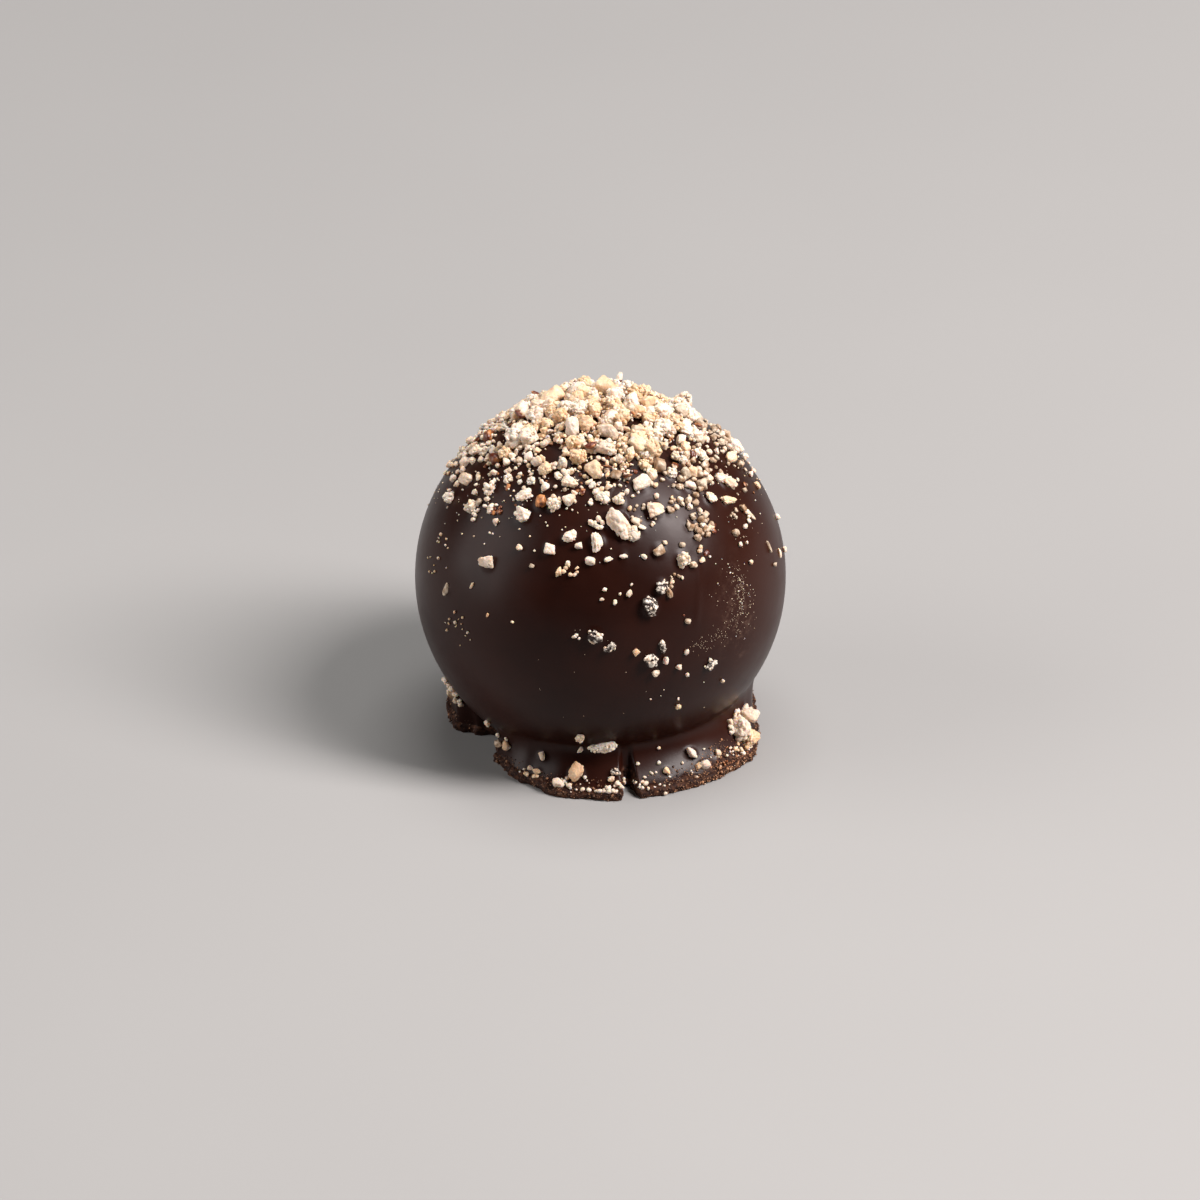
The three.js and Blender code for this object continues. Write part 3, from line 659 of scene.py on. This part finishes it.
def cluster_nuts(draw, polar, azimuth, spread, count, least, most, kind=IVORY):
    at, around = scatter(draw, polar, azimuth, spread, count)[:2]
    size, width = chopped(draw, count, (least, most))
    kind = np.where(draw.random(count) < CLUSTER_OWN_KIND, kind, IVORY)
    return chopped_rows(draw, at, around, size, width, kind)


def heap_nuts(draw, count, radius, lift, least, most):
    """A layer of the heap on top, thinning out at its edge."""
    at, around, away = scatter(draw, HEAP_POLAR, 0, radius, count)
    size, width = chopped(draw, count, (least, most))
    keep = draw.random(count) < 1 - smooth_step(HEAP_FULL * radius, radius, away)
    kind = kinds_for(draw, at, around, size)
    high = lift * drawn(draw, HEAP_LIFTS, count)
    made = chopped_rows(draw, at, around, size, width, kind, high)
    return near_spots(draw, clear_of(made[keep], LANDMARKS, HEAP_CLEARANCE))


def fine_nuts(draw, count, least, most, full, end):
    """A layer of grains between the larger pieces, thinning out down the sides."""
    at, around, away = scatter(draw, CAP_TILT, HALF_TURN, end, count)
    size, width = chopped(draw, count, (least, most), FINE_BUNCHING)
    chance = (1 - smooth_step(full, end, away)) * (1 - RIGHT_THINNING * glazed_share(at, around))
    keep = draw.random(count) < chance
    made = chopped_rows(draw, at, around, size, width, kinds_for(draw, at, around, size))
    return near_spots(draw, made[keep])


def dust():
    """Specks scattered along the dust's arc, denser in its upper part."""
    draw = default_rng(DUST_SEED)
    along = draw.random(DUST_COUNT) ** DUST_BUNCHING * (len(DUST_ARC) - 1)
    polar, azimuth = (np.interp(along, np.arange(len(DUST_ARC)), column) for column in DUST_ARC.T)
    polar = polar + DUST_SPREAD * draw.normal(size=DUST_COUNT)
    azimuth = azimuth - DUST_DRIFT * np.abs(draw.normal(size=DUST_COUNT))
    size = drawn(draw, DUST_SIZES, DUST_COUNT)
    turn = HALF_TURN * draw.random(DUST_COUNT)
    return rows(polar, azimuth, size, DUST_SLIMNESS * size, turn, DUST_RISE * size, GLAZED, 0)


def all_nuts():
    """Every nut but the dust, from the placed ones to the finest. One generator runs through them all."""
    draw = default_rng(NUTS_SEED)
    rise = np.where(LANDMARKS[:, 5] > 0, LANDMARKS[:, 5], NUT_RISE * LANDMARKS[:, 3])
    on_heap = (LANDMARKS[:, 0] < HEAP_END) & (LANDMARKS[:, 5] > 0)
    cap = outside_spots(clear_of(cap_nuts(), LANDMARKS, NUT_CLEARANCE))
    cap_kind = kinds_for(draw, cap[:, 0], cap[:, 1], cap[:, 2])
    parts = [
        rows(*LANDMARKS[:, :5].T, rise, LANDMARKS[:, 6], MARK_LIFT * on_heap),
        rows(*cap.T, NUT_RISE * cap[:, 3], cap_kind, 0),
        rows(*HEAP_SKINS[:, :5].T, FLAKE_RISE * HEAP_SKINS[:, 3], SKIN, HEAP_SKINS[:, 5]),
        rows(*SINGLES[:, :5].T, NUT_RISE * SINGLES[:, 3], SINGLES[:, 5], 0),
    ]
    parts += [cluster_nuts(draw, *cluster) for cluster in CLUSTERS]
    parts += [heap_nuts(draw, *layer) for layer in HEAP_LAYERS]
    parts += [fine_nuts(draw, *layer) for layer in FINE_LAYERS]
    return np.concatenate(parts)


# Pieces of nut

# Where pieces lie: middles, axes as rows of unit vectors, sizes, kinds, and tones added to their mottling
Frames = namedtuple("Frames", "middle axes sizes kind tone")


def chosen(frames, mask):
    return Frames(*(values[mask] for values in frames))


def ico_sphere(level):
    bm = bmesh.new()
    bmesh.ops.create_icosphere(bm, subdivisions=level, radius=1)
    corners = np.array([v.co[:] for v in bm.verts])
    faces = np.array([[v.index for v in f.verts] for f in bm.faces])
    bm.free()
    return unit(corners), faces


def even_directions(count):
    i = np.arange(count) + 0.5
    z = 1 - 2 * i / count
    side = np.sqrt(1 - z * z)
    return np.stack([side * np.cos(i * GOLDEN_ANGLE), side * np.sin(i * GOLDEN_ANGLE), z], -1)


def strewn(draw, count, number, stray):
    """For each of a count of lumps, a number of even directions, turned and then shaken at random."""
    quaternion = unit(draw.normal(size=(count, 1, 4)))
    w, axis = quaternion[..., :1], quaternion[..., 1:]
    even = even_directions(number)[None]
    across = 2 * np.cross(axis, even)
    turned = even + w * across + np.cross(axis, across)
    return unit(turned + stray * draw.normal(size=turned.shape))


def random_axes(draw, count):
    first = unit(draw.normal(size=(count, 3)))
    second = unit(np.cross(first, draw.normal(size=(count, 3))))
    return np.stack([first, second, np.cross(first, second)], 1)


def lump_radii(draw, count, directions, graininess, grains):
    """How far a broken lump reaches in each direction: flat breaks, then fine grain on them."""
    planes = strewn(draw, count, BREAKS, BREAK_STRAY)
    distance = drawn(draw, BREAK_DISTANCES, (count, BREAKS))
    facing = np.maximum(np.einsum("vi,nki->nvk", directions, planes), 0) / distance[:, None]
    radii = (facing**CRISPNESS).sum(-1) ** (-1 / CRISPNESS)
    radii = np.minimum(radii, SPIKE * np.median(radii, axis=1, keepdims=True))
    if grains:
        cells = strewn(draw, count, grains, GRAIN_STRAY)
        nearest = np.einsum("vi,nki->nvk", directions, cells).max(-1)
        dome = np.sqrt(np.clip(1 - (1 - nearest) * grains * GRAIN_WIDTH, 0, 1))
        radii = radii * (1 + graininess[:, None] * (dome - GRAIN_LEVEL))
    return radii


def frames_of(nuts, seed):
    """The frame of each nut. One that falls past the rim is set on it, and a lifted one leans."""
    draw = default_rng(seed)
    polar, azimuth, length, width, turn, rise, kind, lift = nuts.T
    polar = np.minimum(polar, RIM_POLAR)
    normal = normal_at(azimuth, polar)
    level_way = unit(np.cross([0.0, 0.0, 1.0], normal))
    t = (turn * RADIANS)[:, None]
    along = level_way * np.cos(t) + np.cross(normal, level_way) * np.sin(t)
    up = unit(normal + lift[:, None] * draw.normal(size=normal.shape))
    along = unit(along - up * (along * up).sum(-1, keepdims=True))
    thickness = rise / (1 - NUT_SUNK)
    thickness = np.where((kind == SKIN) & (length < SKIN_MOST), FLAKE_THINNESS * thickness, thickness)
    sunk = np.where((polar > FOOT_POLAR) | (length < COARSE_LENGTH), FINE_SUNK, COARSE_SUNK)
    middle = surface_at(azimuth, polar) + normal * (thickness * (0.5 - sunk) + lift)[:, None]
    axes = np.stack([along, np.cross(up, along), up], 1)
    sizes = np.stack([length, width, thickness], -1)
    return Frames(middle, axes, sizes, kind.astype(int), TONE_SPREAD * draw.normal(size=len(nuts)))


def granules(frames, seed):
    """Fine granules over the upper side of crumbly pieces."""
    draw = default_rng(seed)
    parts = []
    for middle, axes, sizes, kind, tone in zip(*frames):
        count = int(GRANULE_SHARE * sizes[0] * sizes[1]) + GRANULES_LEAST
        d = unit(draw.normal(size=(count, 3)))
        d[:, 2] = np.where(d[:, 2] < GRANULES_FROM, -d[:, 2], d[:, 2])
        depth = drawn(draw, GRANULE_DEPTHS, (count, 1))
        at = middle + (d * sizes / 2 * depth) @ axes
        size = drawn(draw, GRANULE_SIZES, count, GRANULE_BUNCHING)
        slim = drawn(draw, GRANULE_SLIMNESS, (count, 2))
        own = np.column_stack([size, size * slim[:, 0], size * slim[:, 1]])
        own_axes = random_axes(draw, count)
        shade = tone + GRANULE_TONES * draw.normal(size=count)
        parts.append((at, own_axes, own, np.full(count, kind), shade))
    return Frames(*(np.concatenate(values) for values in zip(*parts)))


def lumps(frames, level, grains, seed):
    """Vertices, faces and tints of one broken piece of nut in each frame."""
    draw = default_rng(seed)
    directions, faces = ico_sphere(level)
    count = len(frames.kind)

    def own_noise(fineness, noise_seed):
        return noise(directions[None] * fineness + NOISE_SPAN * draw.random((count, 1, 3)), 1.0, noise_seed)

    graininess = np.where(draw.random(count) < 0.5, *GRAININESS)
    radii = lump_radii(draw, count, directions, graininess, grains)
    local = directions * (radii * (1 + ROUGHNESS * own_noise(ROUGH_FINENESS, ROUGH_SEED)))[..., None]
    low, high = local.min(axis=1, keepdims=True), local.max(axis=1, keepdims=True)
    local = (2 * local - low - high) / (high - low)
    local = 0.5 * np.sign(local) * np.abs(local) ** FULLNESS
    points = frames.middle[:, None] + np.einsum("nvi,nij->nvj", local * frames.sizes[:, None], frames.axes)
    mottle = own_noise(MOTTLE[frames.kind][:, None, None], MOTTLE_SEED)
    tone = BALANCE[frames.kind][:, None] + CONTRAST[frames.kind][:, None] * mottle
    tone = np.clip(tone + frames.tone[:, None], 0, 1)[..., None]
    pair = PALETTE[frames.kind]
    tint = pair[:, None, 0] * (1 - tone) + pair[:, None, 1] * tone
    tint = tint * drawn(draw, TINT_STRENGTHS, (count, 1, 1))
    all_faces = faces[None] + (np.arange(count) * len(directions))[:, None, None]
    return points.reshape(-1, 3), all_faces.reshape(-1, 3).tolist(), tint.reshape(-1, 3)


# Materials


class Nodes:
    """A short way to write a material's node tree."""

    def __init__(self, name):
        self.material = bpy.data.materials.new(name)
        self.material.use_nodes = True
        self.tree = self.material.node_tree
        self.shader = self.tree.nodes["Principled BSDF"]
        coordinates = self.tree.nodes.new("ShaderNodeTexCoord")
        self.place = coordinates.outputs["Object"]

    def put(self, socket, value):
        """Links the socket to a source, or sets it to a plain value."""
        if isinstance(value, bpy.types.NodeSocket):
            self.tree.links.new(value, socket)
        else:
            socket.default_value = value

    def shade(self, name, value):
        self.put(self.shader.inputs[name], value)

    def made(self, kind, output, inputs):
        """The output of a new node with the given inputs."""
        node = self.tree.nodes.new(kind)
        for name, value in inputs.items():
            self.put(node.inputs[name], value)
        return node.outputs[output]

    def noise(self, scale, detail=3.0, roughness=0.55):
        inputs = {"Scale": scale, "Detail": detail, "Roughness": roughness, "Vector": self.place}
        return self.made("ShaderNodeTexNoise", "Fac", inputs)

    def cells(self, scale):
        return self.made("ShaderNodeTexVoronoi", "Distance", {"Scale": scale, "Vector": self.place})

    def spread(self, source, to_low, to_high, low=0.3, high=0.7):
        """The source's usual range, low to high, spread over another range."""
        inputs = {"Value": source, "From Min": low, "From Max": high, "To Min": to_low, "To Max": to_high}
        return self.made("ShaderNodeMapRange", "Result", inputs)

    def attribute(self, name, output="Fac"):
        node = self.tree.nodes.new("ShaderNodeAttribute")
        node.attribute_name = name
        return node.outputs[output]

    def ramp(self, source, *stops):
        """Each stop is its position and its colour."""
        node = self.tree.nodes.new("ShaderNodeValToRGB")
        elements = node.color_ramp.elements
        for element, (position, colour) in zip(elements, stops):
            element.position = position
            element.color = (*colour, 1)
        self.put(node.inputs["Fac"], source)
        return node.outputs["Color"]

    def mix(self, share, first, second, blend="MIX"):
        node = self.tree.nodes.new("ShaderNodeMix")
        node.data_type = "RGBA"
        node.blend_type = blend
        colours = [(*value, 1) if isinstance(value, tuple) else value for value in (first, second)]
        for index, value in zip(MIX_SOCKETS, (share, *colours)):
            self.put(node.inputs[index], value)
        return node.outputs[MIX_RESULT]

    def calculate(self, operation, first, second):
        node = self.tree.nodes.new("ShaderNodeMath")
        node.operation = operation
        for socket, value in zip(node.inputs, (first, second)):
            self.put(socket, value)
        return node.outputs[0]

    def bump(self, *layers):
        """Each layer is its height source and its depth in millimetres."""
        last = None
        for source, depth in layers:
            inputs = {"Distance": depth * MM, "Height": source}
            if last:
                inputs["Normal"] = last
            last = self.made("ShaderNodeBump", "Normal", inputs)
        self.shade("Normal", last)


def chocolate_material():
    """Dark chocolate with a soft gloss and painted warm rim light at the right, broken at its edge and
    smeared in one place.
    """
    nodes = Nodes("dark_chocolate")
    colour = nodes.ramp(nodes.noise(160), (0.3, DARKER), (0.72, LIGHTER))
    # Painted warm rim light at the right of the coat
    colour = nodes.mix(nodes.attribute("painted_rim_light"), colour, PAINTED_RIM_LIGHT_COLOUR)
    edge = nodes.attribute("edge")
    grain = nodes.noise(2600, detail=4.0, roughness=0.7)
    colour = nodes.mix(edge, colour, nodes.ramp(grain, (0.44, BROKEN_DARK), (0.80, BROKEN_LIGHT)))
    smudge = nodes.attribute("smudge")
    streaks = nodes.spread(nodes.noise(1300, detail=6.0, roughness=0.8), 0.0, 0.8, low=0.5)
    colour = nodes.mix(nodes.calculate("MULTIPLY", smudge, streaks), colour, SMEAR)
    nodes.shade("Base Color", colour)
    rough = nodes.spread(nodes.noise(420), 0.31, 0.38)
    for mask, duller in ((edge, 0.35), (smudge, 0.1)):
        rough = nodes.calculate("ADD", rough, nodes.calculate("MULTIPLY", mask, duller))
    nodes.shade("Roughness", rough)
    nodes.shade("Specular IOR Level", 0.16)
    nodes.bump((nodes.noise(4200), 0.003))
    return nodes.material


def tinted_nodes(name, gloss, flecks=None):
    """A material in the pieces' own tint. Its flecks are noise scale and roughness, ramp stops, darkness."""
    nodes = Nodes(name)
    colour = nodes.attribute("tint", "Color")
    if flecks:
        scale, roughness, dark_stop, plain_stop, darkest = flecks
        fine = nodes.noise(scale, detail=4.0, roughness=roughness)
        shade = nodes.ramp(fine, (dark_stop, (darkest,) * 3), (plain_stop, (1.0,) * 3))
        colour = nodes.mix(1.0, colour, shade, "MULTIPLY")
    nodes.shade("Base Color", colour)
    nodes.shade("Roughness", nodes.spread(nodes.noise(3000), *gloss))
    return nodes


def nut_material():
    nodes = tinted_nodes("chopped_nut", gloss=(0.5, 0.72), flecks=(5200, 0.65, 0.25, 0.72, 0.80))
    nodes.shade("Subsurface Weight", 0.35)
    nodes.shade("Subsurface Radius", (1.0, 0.5, 0.22))
    nodes.shade("Subsurface Scale", 0.4 * MM)
    nodes.bump((nodes.cells(6500), 0.03), (nodes.noise(14000), 0.012))
    return nodes.material


def skin_material():
    nodes = tinted_nodes("nut_skin", gloss=(0.26, 0.42), flecks=(4200, 0.65, 0.3, 0.7, 0.62))
    nodes.bump((nodes.cells(4800), 0.03))
    return nodes.material


def glazed_material():
    nodes = tinted_nodes("glazed_nut", gloss=(0.26, 0.5), flecks=(3800, 0.6, 0.3, 0.7, 0.6))
    nodes.bump((nodes.cells(5200), 0.035))
    return nodes.material


def filmed_material():
    nodes = tinted_nodes("filmed_nut", gloss=(0.28, 0.5))
    nodes.shade("Specular IOR Level", 0.35)
    nodes.bump((nodes.cells(4200), 0.06))
    return nodes.material


def crumb_material():
    nodes = tinted_nodes("chocolate_crumb", gloss=(0.45, 0.7))
    nodes.bump((nodes.noise(7000, detail=4.0), 0.03))
    return nodes.material


# Meshes


def mesh_object(name, points, faces, material):
    mesh = bpy.data.meshes.new(name)
    mesh.from_pydata(points, [], faces)
    mesh.materials.append(material)
    made = bpy.data.objects.new(name, mesh)
    bpy.context.scene.collection.objects.link(made)
    return made


def mesh_piece(name, points, faces, attributes, material):
    """A piece of the truffle, from points in millimetres."""
    piece = mesh_object(name, (points * MM).tolist(), faces, material)
    mesh = piece.data
    for attribute, values in attributes.items():
        if values.ndim == 1:
            layer = mesh.attributes.new(attribute, "FLOAT", "POINT")
            layer.data.foreach_set("value", values.astype(np.float32))
        else:
            layer = mesh.attributes.new(attribute, "FLOAT_COLOR", "POINT")
            full = np.concatenate([values, np.ones((len(values), 1))], axis=1)
            layer.data.foreach_set("color", full.astype(np.float32).ravel())
    mesh.shade_smooth()
    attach(piece, "root")
    return piece


def add_lumps(name, frames, material, seed, level=2, grains=0):
    points, faces, tint = lumps(frames, level, grains, seed)
    points[:, 2] = np.maximum(points[:, 2], 0.0)
    mesh_piece(name, points, faces, {"tint": tint}, material)


# The chocolate


def grid_normals(grid):
    """Outward normals of a grid whose rows run down and whose columns run round."""
    down = np.gradient(grid, axis=0)
    along = np.roll(grid, -1, axis=1) - np.roll(grid, 1, axis=1)
    return unit(np.cross(down, along) + 1e-12)


def edge_band(azimuth):
    """The share of the foot's top at which its broken edge starts: wide at the right, narrow elsewhere."""
    return EDGE_START - humps(azimuth, EDGE_WIDER)


def shell_grid(azimuth):
    """The coat's rows of points, from the top down to the floor, and how far each is in the broken edge."""
    leaving = leaving_polar(azimuth)
    reach = foot_at(azimuth)[0]
    whole, broken = np.zeros_like(azimuth), np.ones_like(azimuth)
    grid, edge = [], []
    for row in range(1, BALL_ROWS + 1):
        grid.append(ball_point(azimuth, leaving * row / BALL_ROWS))
        edge.append(whole)
    for row in range(1, FOOT_ROWS + 1):
        share = row / FOOT_ROWS
        grid.append(foot_point(azimuth, whole + share))
        edge.append(smooth_step(edge_band(azimuth), 1.0, share))
    rim_height = grid[-1][:, 2]
    quarters = [math.pi / 2 * row / RIM_ROWS for row in range(1, RIM_ROWS + 1)]
    for quarter in quarters:
        height = RIM_ROUND + (rim_height - RIM_ROUND) * math.cos(quarter)
        grid.append(ring_point(azimuth, reach - RIM_ROUND * (1 - math.sin(quarter)), height))
        edge.append(broken)
    for quarter in quarters:
        height = whole + RIM_ROUND * (1 - math.sin(quarter))
        grid.append(ring_point(azimuth, reach - RIM_ROUND / 2 * (1 - math.cos(quarter)), height))
        edge.append(broken)
    return np.array(grid), np.array(edge)


def broken_share(grid, edge, azimuth):
    """Where the chocolate is broken: a ragged band along the rim and on both sides of the crack."""
    split = 1 - smooth_step(*SPLIT_REACH, np.abs(azimuth - CRACK_AZIMUTH))
    foot_share = np.clip((np.arange(len(grid)) - BALL_ROWS) / FOOT_ROWS, 0, 1)[:, None]
    edge = np.clip(edge + split * smooth_step(*SPLIT_ROWS, foot_share), 0, 1)
    return smooth_step(*BROKEN_STEP, edge + layered_noise(grid, RAGGED)) * (edge > 0)


def ridge(polar, azimuth):
    middle = RIDGE_AZIMUTH - (polar - RIDGE_POLAR) * RIDGE_LEAN
    window = smooth_step(*RIDGE_TOP, polar) * (1 - smooth_step(*RIDGE_BOTTOM, polar))
    return RIDGE_HEIGHT * window * hump(azimuth, middle, RIDGE_WIDTH)


def meniscus(grid, nuts):
    """How far the chocolate climbs round each larger piece that sits in it."""
    large = nuts[(nuts[:, 2] > CLIMB_LEAST) & (nuts[:, 7] == 0)]
    at = surface_at(large[:, 1], large[:, 0])
    flat = grid.reshape(-1, 3)
    rise = np.zeros(len(flat))
    order = np.argsort(flat[:, 2])
    heights = flat[order, 2]
    for middle, radius in zip(at, np.sqrt(large[:, 2] * large[:, 3]) / 2):
        reach = radius + CLIMB_REACH
        low, high = np.searchsorted(heights, [middle[2] - reach, middle[2] + reach])
        near = order[low:high]
        gap = np.linalg.norm(flat[near] - middle, axis=1)
        climb = CLIMB_SHARE * radius * hump(np.maximum(gap - CLIMB_FROM * radius, 0), 0, CLIMB_WIDTH)
        rise[near] = np.maximum(rise[near], climb)
    return rise.reshape(grid.shape[:2])


def shell_faces(count, width):
    """Quads between the rows, closed by a fan of triangles at the top and one underneath."""
    index = 1 + np.arange(count * width).reshape(count, width)
    beside = np.roll(index, -1, axis=1)
    faces = np.stack([index[:-1], index[1:], beside[1:], beside[:-1]], -1).reshape(-1, 4).tolist()
    last = 1 + count * width
    faces += [[0, a, b] for a, b in zip(index[0].tolist(), beside[0].tolist())]
    faces += [[a, last, b] for a, b in zip(index[-1].tolist(), beside[-1].tolist())]
    return faces


def chocolate_shell(nuts):
    """The coat's points, faces and attributes."""
    azimuth = np.concatenate([np.linspace(*stretch, endpoint=False) for stretch in SHELL_COLUMNS])
    grid, edge = shell_grid(azimuth)
    normals = grid_normals(grid)
    broken = broken_share(grid, edge, azimuth)
    polar, around = angles_of(unit(grid - [0, 0, CENTRE_HEIGHT]))
    relief = broken * layered_noise(grid, CRAGS) + layered_noise(grid, WAVES)
    relief = relief + ridge(polar, around) + meniscus(grid, nuts)
    # The underside's last row stays flat on the floor.
    relief[-1] = 0
    grid = grid + normals * relief[..., None]
    grid[..., 2] = np.maximum(grid[..., 2], 0)
    grid[-1, :, 2] = 0
    top = ball_point(np.zeros(1), np.zeros(1))
    points = np.concatenate([top, grid.reshape(-1, 3), np.zeros((1, 3))])
    masks = {"edge": broken}
    # The smear, and the patch of painted warm rim light at the right
    for name, (across_polar, across_azimuth) in (("smudge", SMUDGE), ("painted_rim_light", PAINTED_RIM_LIGHT)):
        masks[name] = hump(polar, *across_polar) * hump(around, *across_azimuth)
    attributes = {name: np.concatenate([[0], mask.ravel(), [0]]) for name, mask in masks.items()}
    return points, shell_faces(len(grid), len(azimuth)), attributes


def rim_crumbs(seed, count, sizes):
    """Crumbs of broken chocolate on the foot's edge: light at the right, dark elsewhere."""
    draw = default_rng(seed)
    azimuth = drawn(draw, (-HALF_TURN, HALF_TURN), count)
    bare = (azimuth > BARE_STRETCH[0]) & (azimuth < BARE_STRETCH[1])
    cracked = np.abs(azimuth - CRACK_AZIMUTH) < CRACK_HALF_WIDTH
    chance = np.where(bare | cracked, 0, CRUMB_CHANCE + humps(azimuth, CRUMBS_LIKELIER))
    azimuth = azimuth[draw.random(count) < chance]
    count = len(azimuth)
    on_face = draw.random(count) < CRUMBS_ON_FACE
    depth = draw.random(count) ** CRUMB_DEPTH_BUNCHING * (CRUMB_DEPTH - edge_band(azimuth))
    middle = foot_point(azimuth, np.clip(1 - depth, 0, 1))
    face = ring_point(azimuth, foot_at(azimuth)[0], drawn(draw, CRUMB_FACE, count))
    middle = np.where(on_face[:, None], face, middle)
    middle = middle + CRUMB_STRAY * draw.normal(size=(count, 3))
    axes = random_axes(draw, count)
    size = drawn(draw, sizes, (count, 1), CRUMB_BUNCHING) * drawn(draw, CHOP_SLIMNESS, (count, 3))
    tone = CRUMB_TONE + humps(azimuth, CRUMBS_LIGHTER) + CRUMB_TONES * draw.normal(size=count)
    return Frames(middle, axes, size, np.full(count, CRUMB), tone)


def make_ivory(frames, share, seed):
    frames.kind[default_rng(seed).random(len(frames.kind)) < share] = IVORY


def build_truffle():
    nuts = all_nuts()
    points, faces, attributes = chocolate_shell(nuts)
    shell = mesh_piece("chocolate_coat", points, faces, attributes, chocolate_material())
    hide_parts("truffle")

    frames = frames_of(nuts, FRAMES_SEED)
    size = np.sqrt(nuts[:, 2] * nuts[:, 3])
    share = np.where(nuts[:, 0] < CRUMBLY_ZONE, CRUMBLY_ON_TOP, CRUMBLY_BELOW)
    crumbly = default_rng(CRUMBLY_SEED).random(len(nuts)) < share
    crumbly &= np.isin(frames.kind, PALE) & (size > CRUMBLY_LEAST)
    crumbly[: len(LANDMARKS)] = LANDMARKS[:, 7] == 1
    frames.sizes[crumbly] *= CRUMBLY_CORE

    materials = {
        "nut": nut_material(),
        "glazed": glazed_material(),
        "filmed": filmed_material(),
        "skin": skin_material(),
    }
    for index, (name, kinds, least, most, level, grains, material) in enumerate(NUT_PIECES):
        mask = np.isin(frames.kind, kinds) & (size >= least) & (size < most)
        add_lumps(name, chosen(frames, mask), materials[material], LUMPS_SEED + index, level, grains)
    add_lumps("nut_granules", granules(chosen(frames, crumbly), seed=88), materials["nut"], seed=120)
    add_lumps("nut_dust", frames_of(dust(), seed=78), materials["glazed"], seed=122, level=1)
    chips = granules(chosen(frames, frames.kind == FILMED), seed=89)
    chips.sizes[:] *= CHIP_SIZE
    make_ivory(chips, PALE_CHIPS, seed=57)
    add_lumps("nut_chips", chips, materials["filmed"], seed=121)

    crumb = crumb_material()
    crumbs = rim_crumbs(seed=31, count=1300, sizes=(0.12, 0.32))
    make_ivory(crumbs, PALE_CRUMBS, seed=58)
    add_lumps("rim_crumbs", crumbs, crumb, seed=131)
    grit = rim_crumbs(seed=32, count=13000, sizes=(0.06, 0.14))
    add_lumps("rim_grit", grit, crumb, seed=132, level=1)


# The studio


def add_floor():
    nodes = Nodes("pale_floor")
    nodes.shade("Base Color", nodes.ramp(nodes.noise(9), (0.3, FLOOR_DARKER), (0.7, FLOOR_LIGHTER)))
    nodes.shade("Roughness", 0.6)
    half = FLOOR_SIZE / 2
    corners = [(-half, -half, 0), (half, -half, 0), (half, half, 0), (-half, half, 0)]
    mesh_object("floor", corners, [(0, 1, 2, 3)], nodes.material)


def place(piece, aim, way, distance):
    """Sets a light or the camera at a distance from its aim, and turns it there."""
    piece.location = aim + way * distance
    piece.rotation_mode = "QUATERNION"
    piece.rotation_quaternion = way.to_track_quat("Z", "Y")
    bpy.context.scene.collection.objects.link(piece)


def add_light(name, direction, distance, size, power, colour):
    data = bpy.data.lights.new(name, "AREA")
    data.shape = "RECTANGLE"
    data.size, data.size_y = size
    data.energy = power
    data.color = colour
    light = bpy.data.objects.new(name, data)
    place(light, Vector((0, 0, CENTRE_HEIGHT * MM)), Vector(direction).normalized(), distance)


def add_camera():
    elevation = CAMERA_ELEVATION * RADIANS
    up = Vector((0, math.sin(elevation), math.cos(elevation)))
    back = Vector((0, -math.cos(elevation), math.sin(elevation)))
    data = bpy.data.cameras.new("camera")
    data.sensor_width = SENSOR_WIDTH
    data.lens = SENSOR_WIDTH * CAMERA_DISTANCE / VIEW_WIDTH
    data.clip_start, data.clip_end = CAMERA_CLIP
    camera = bpy.data.objects.new("camera", data)
    place(camera, Vector((0, 0, CENTRE_HEIGHT * MM)) - up * AIM_BELOW, back, CAMERA_DISTANCE)
    bpy.context.scene.camera = camera


def add_studio():
    add_floor()
    for light in LIGHTS:
        add_light(*light)
    world = bpy.data.worlds.new("studio")
    world.use_nodes = True
    background = world.node_tree.nodes["Background"]
    background.inputs["Color"].default_value = (1, 1, 1, 1)
    background.inputs["Strength"].default_value = AMBIENT
    bpy.context.scene.world = world
    add_camera()
    bpy.context.scene.view_settings.view_transform = "Standard"


build_truffle()
add_studio()
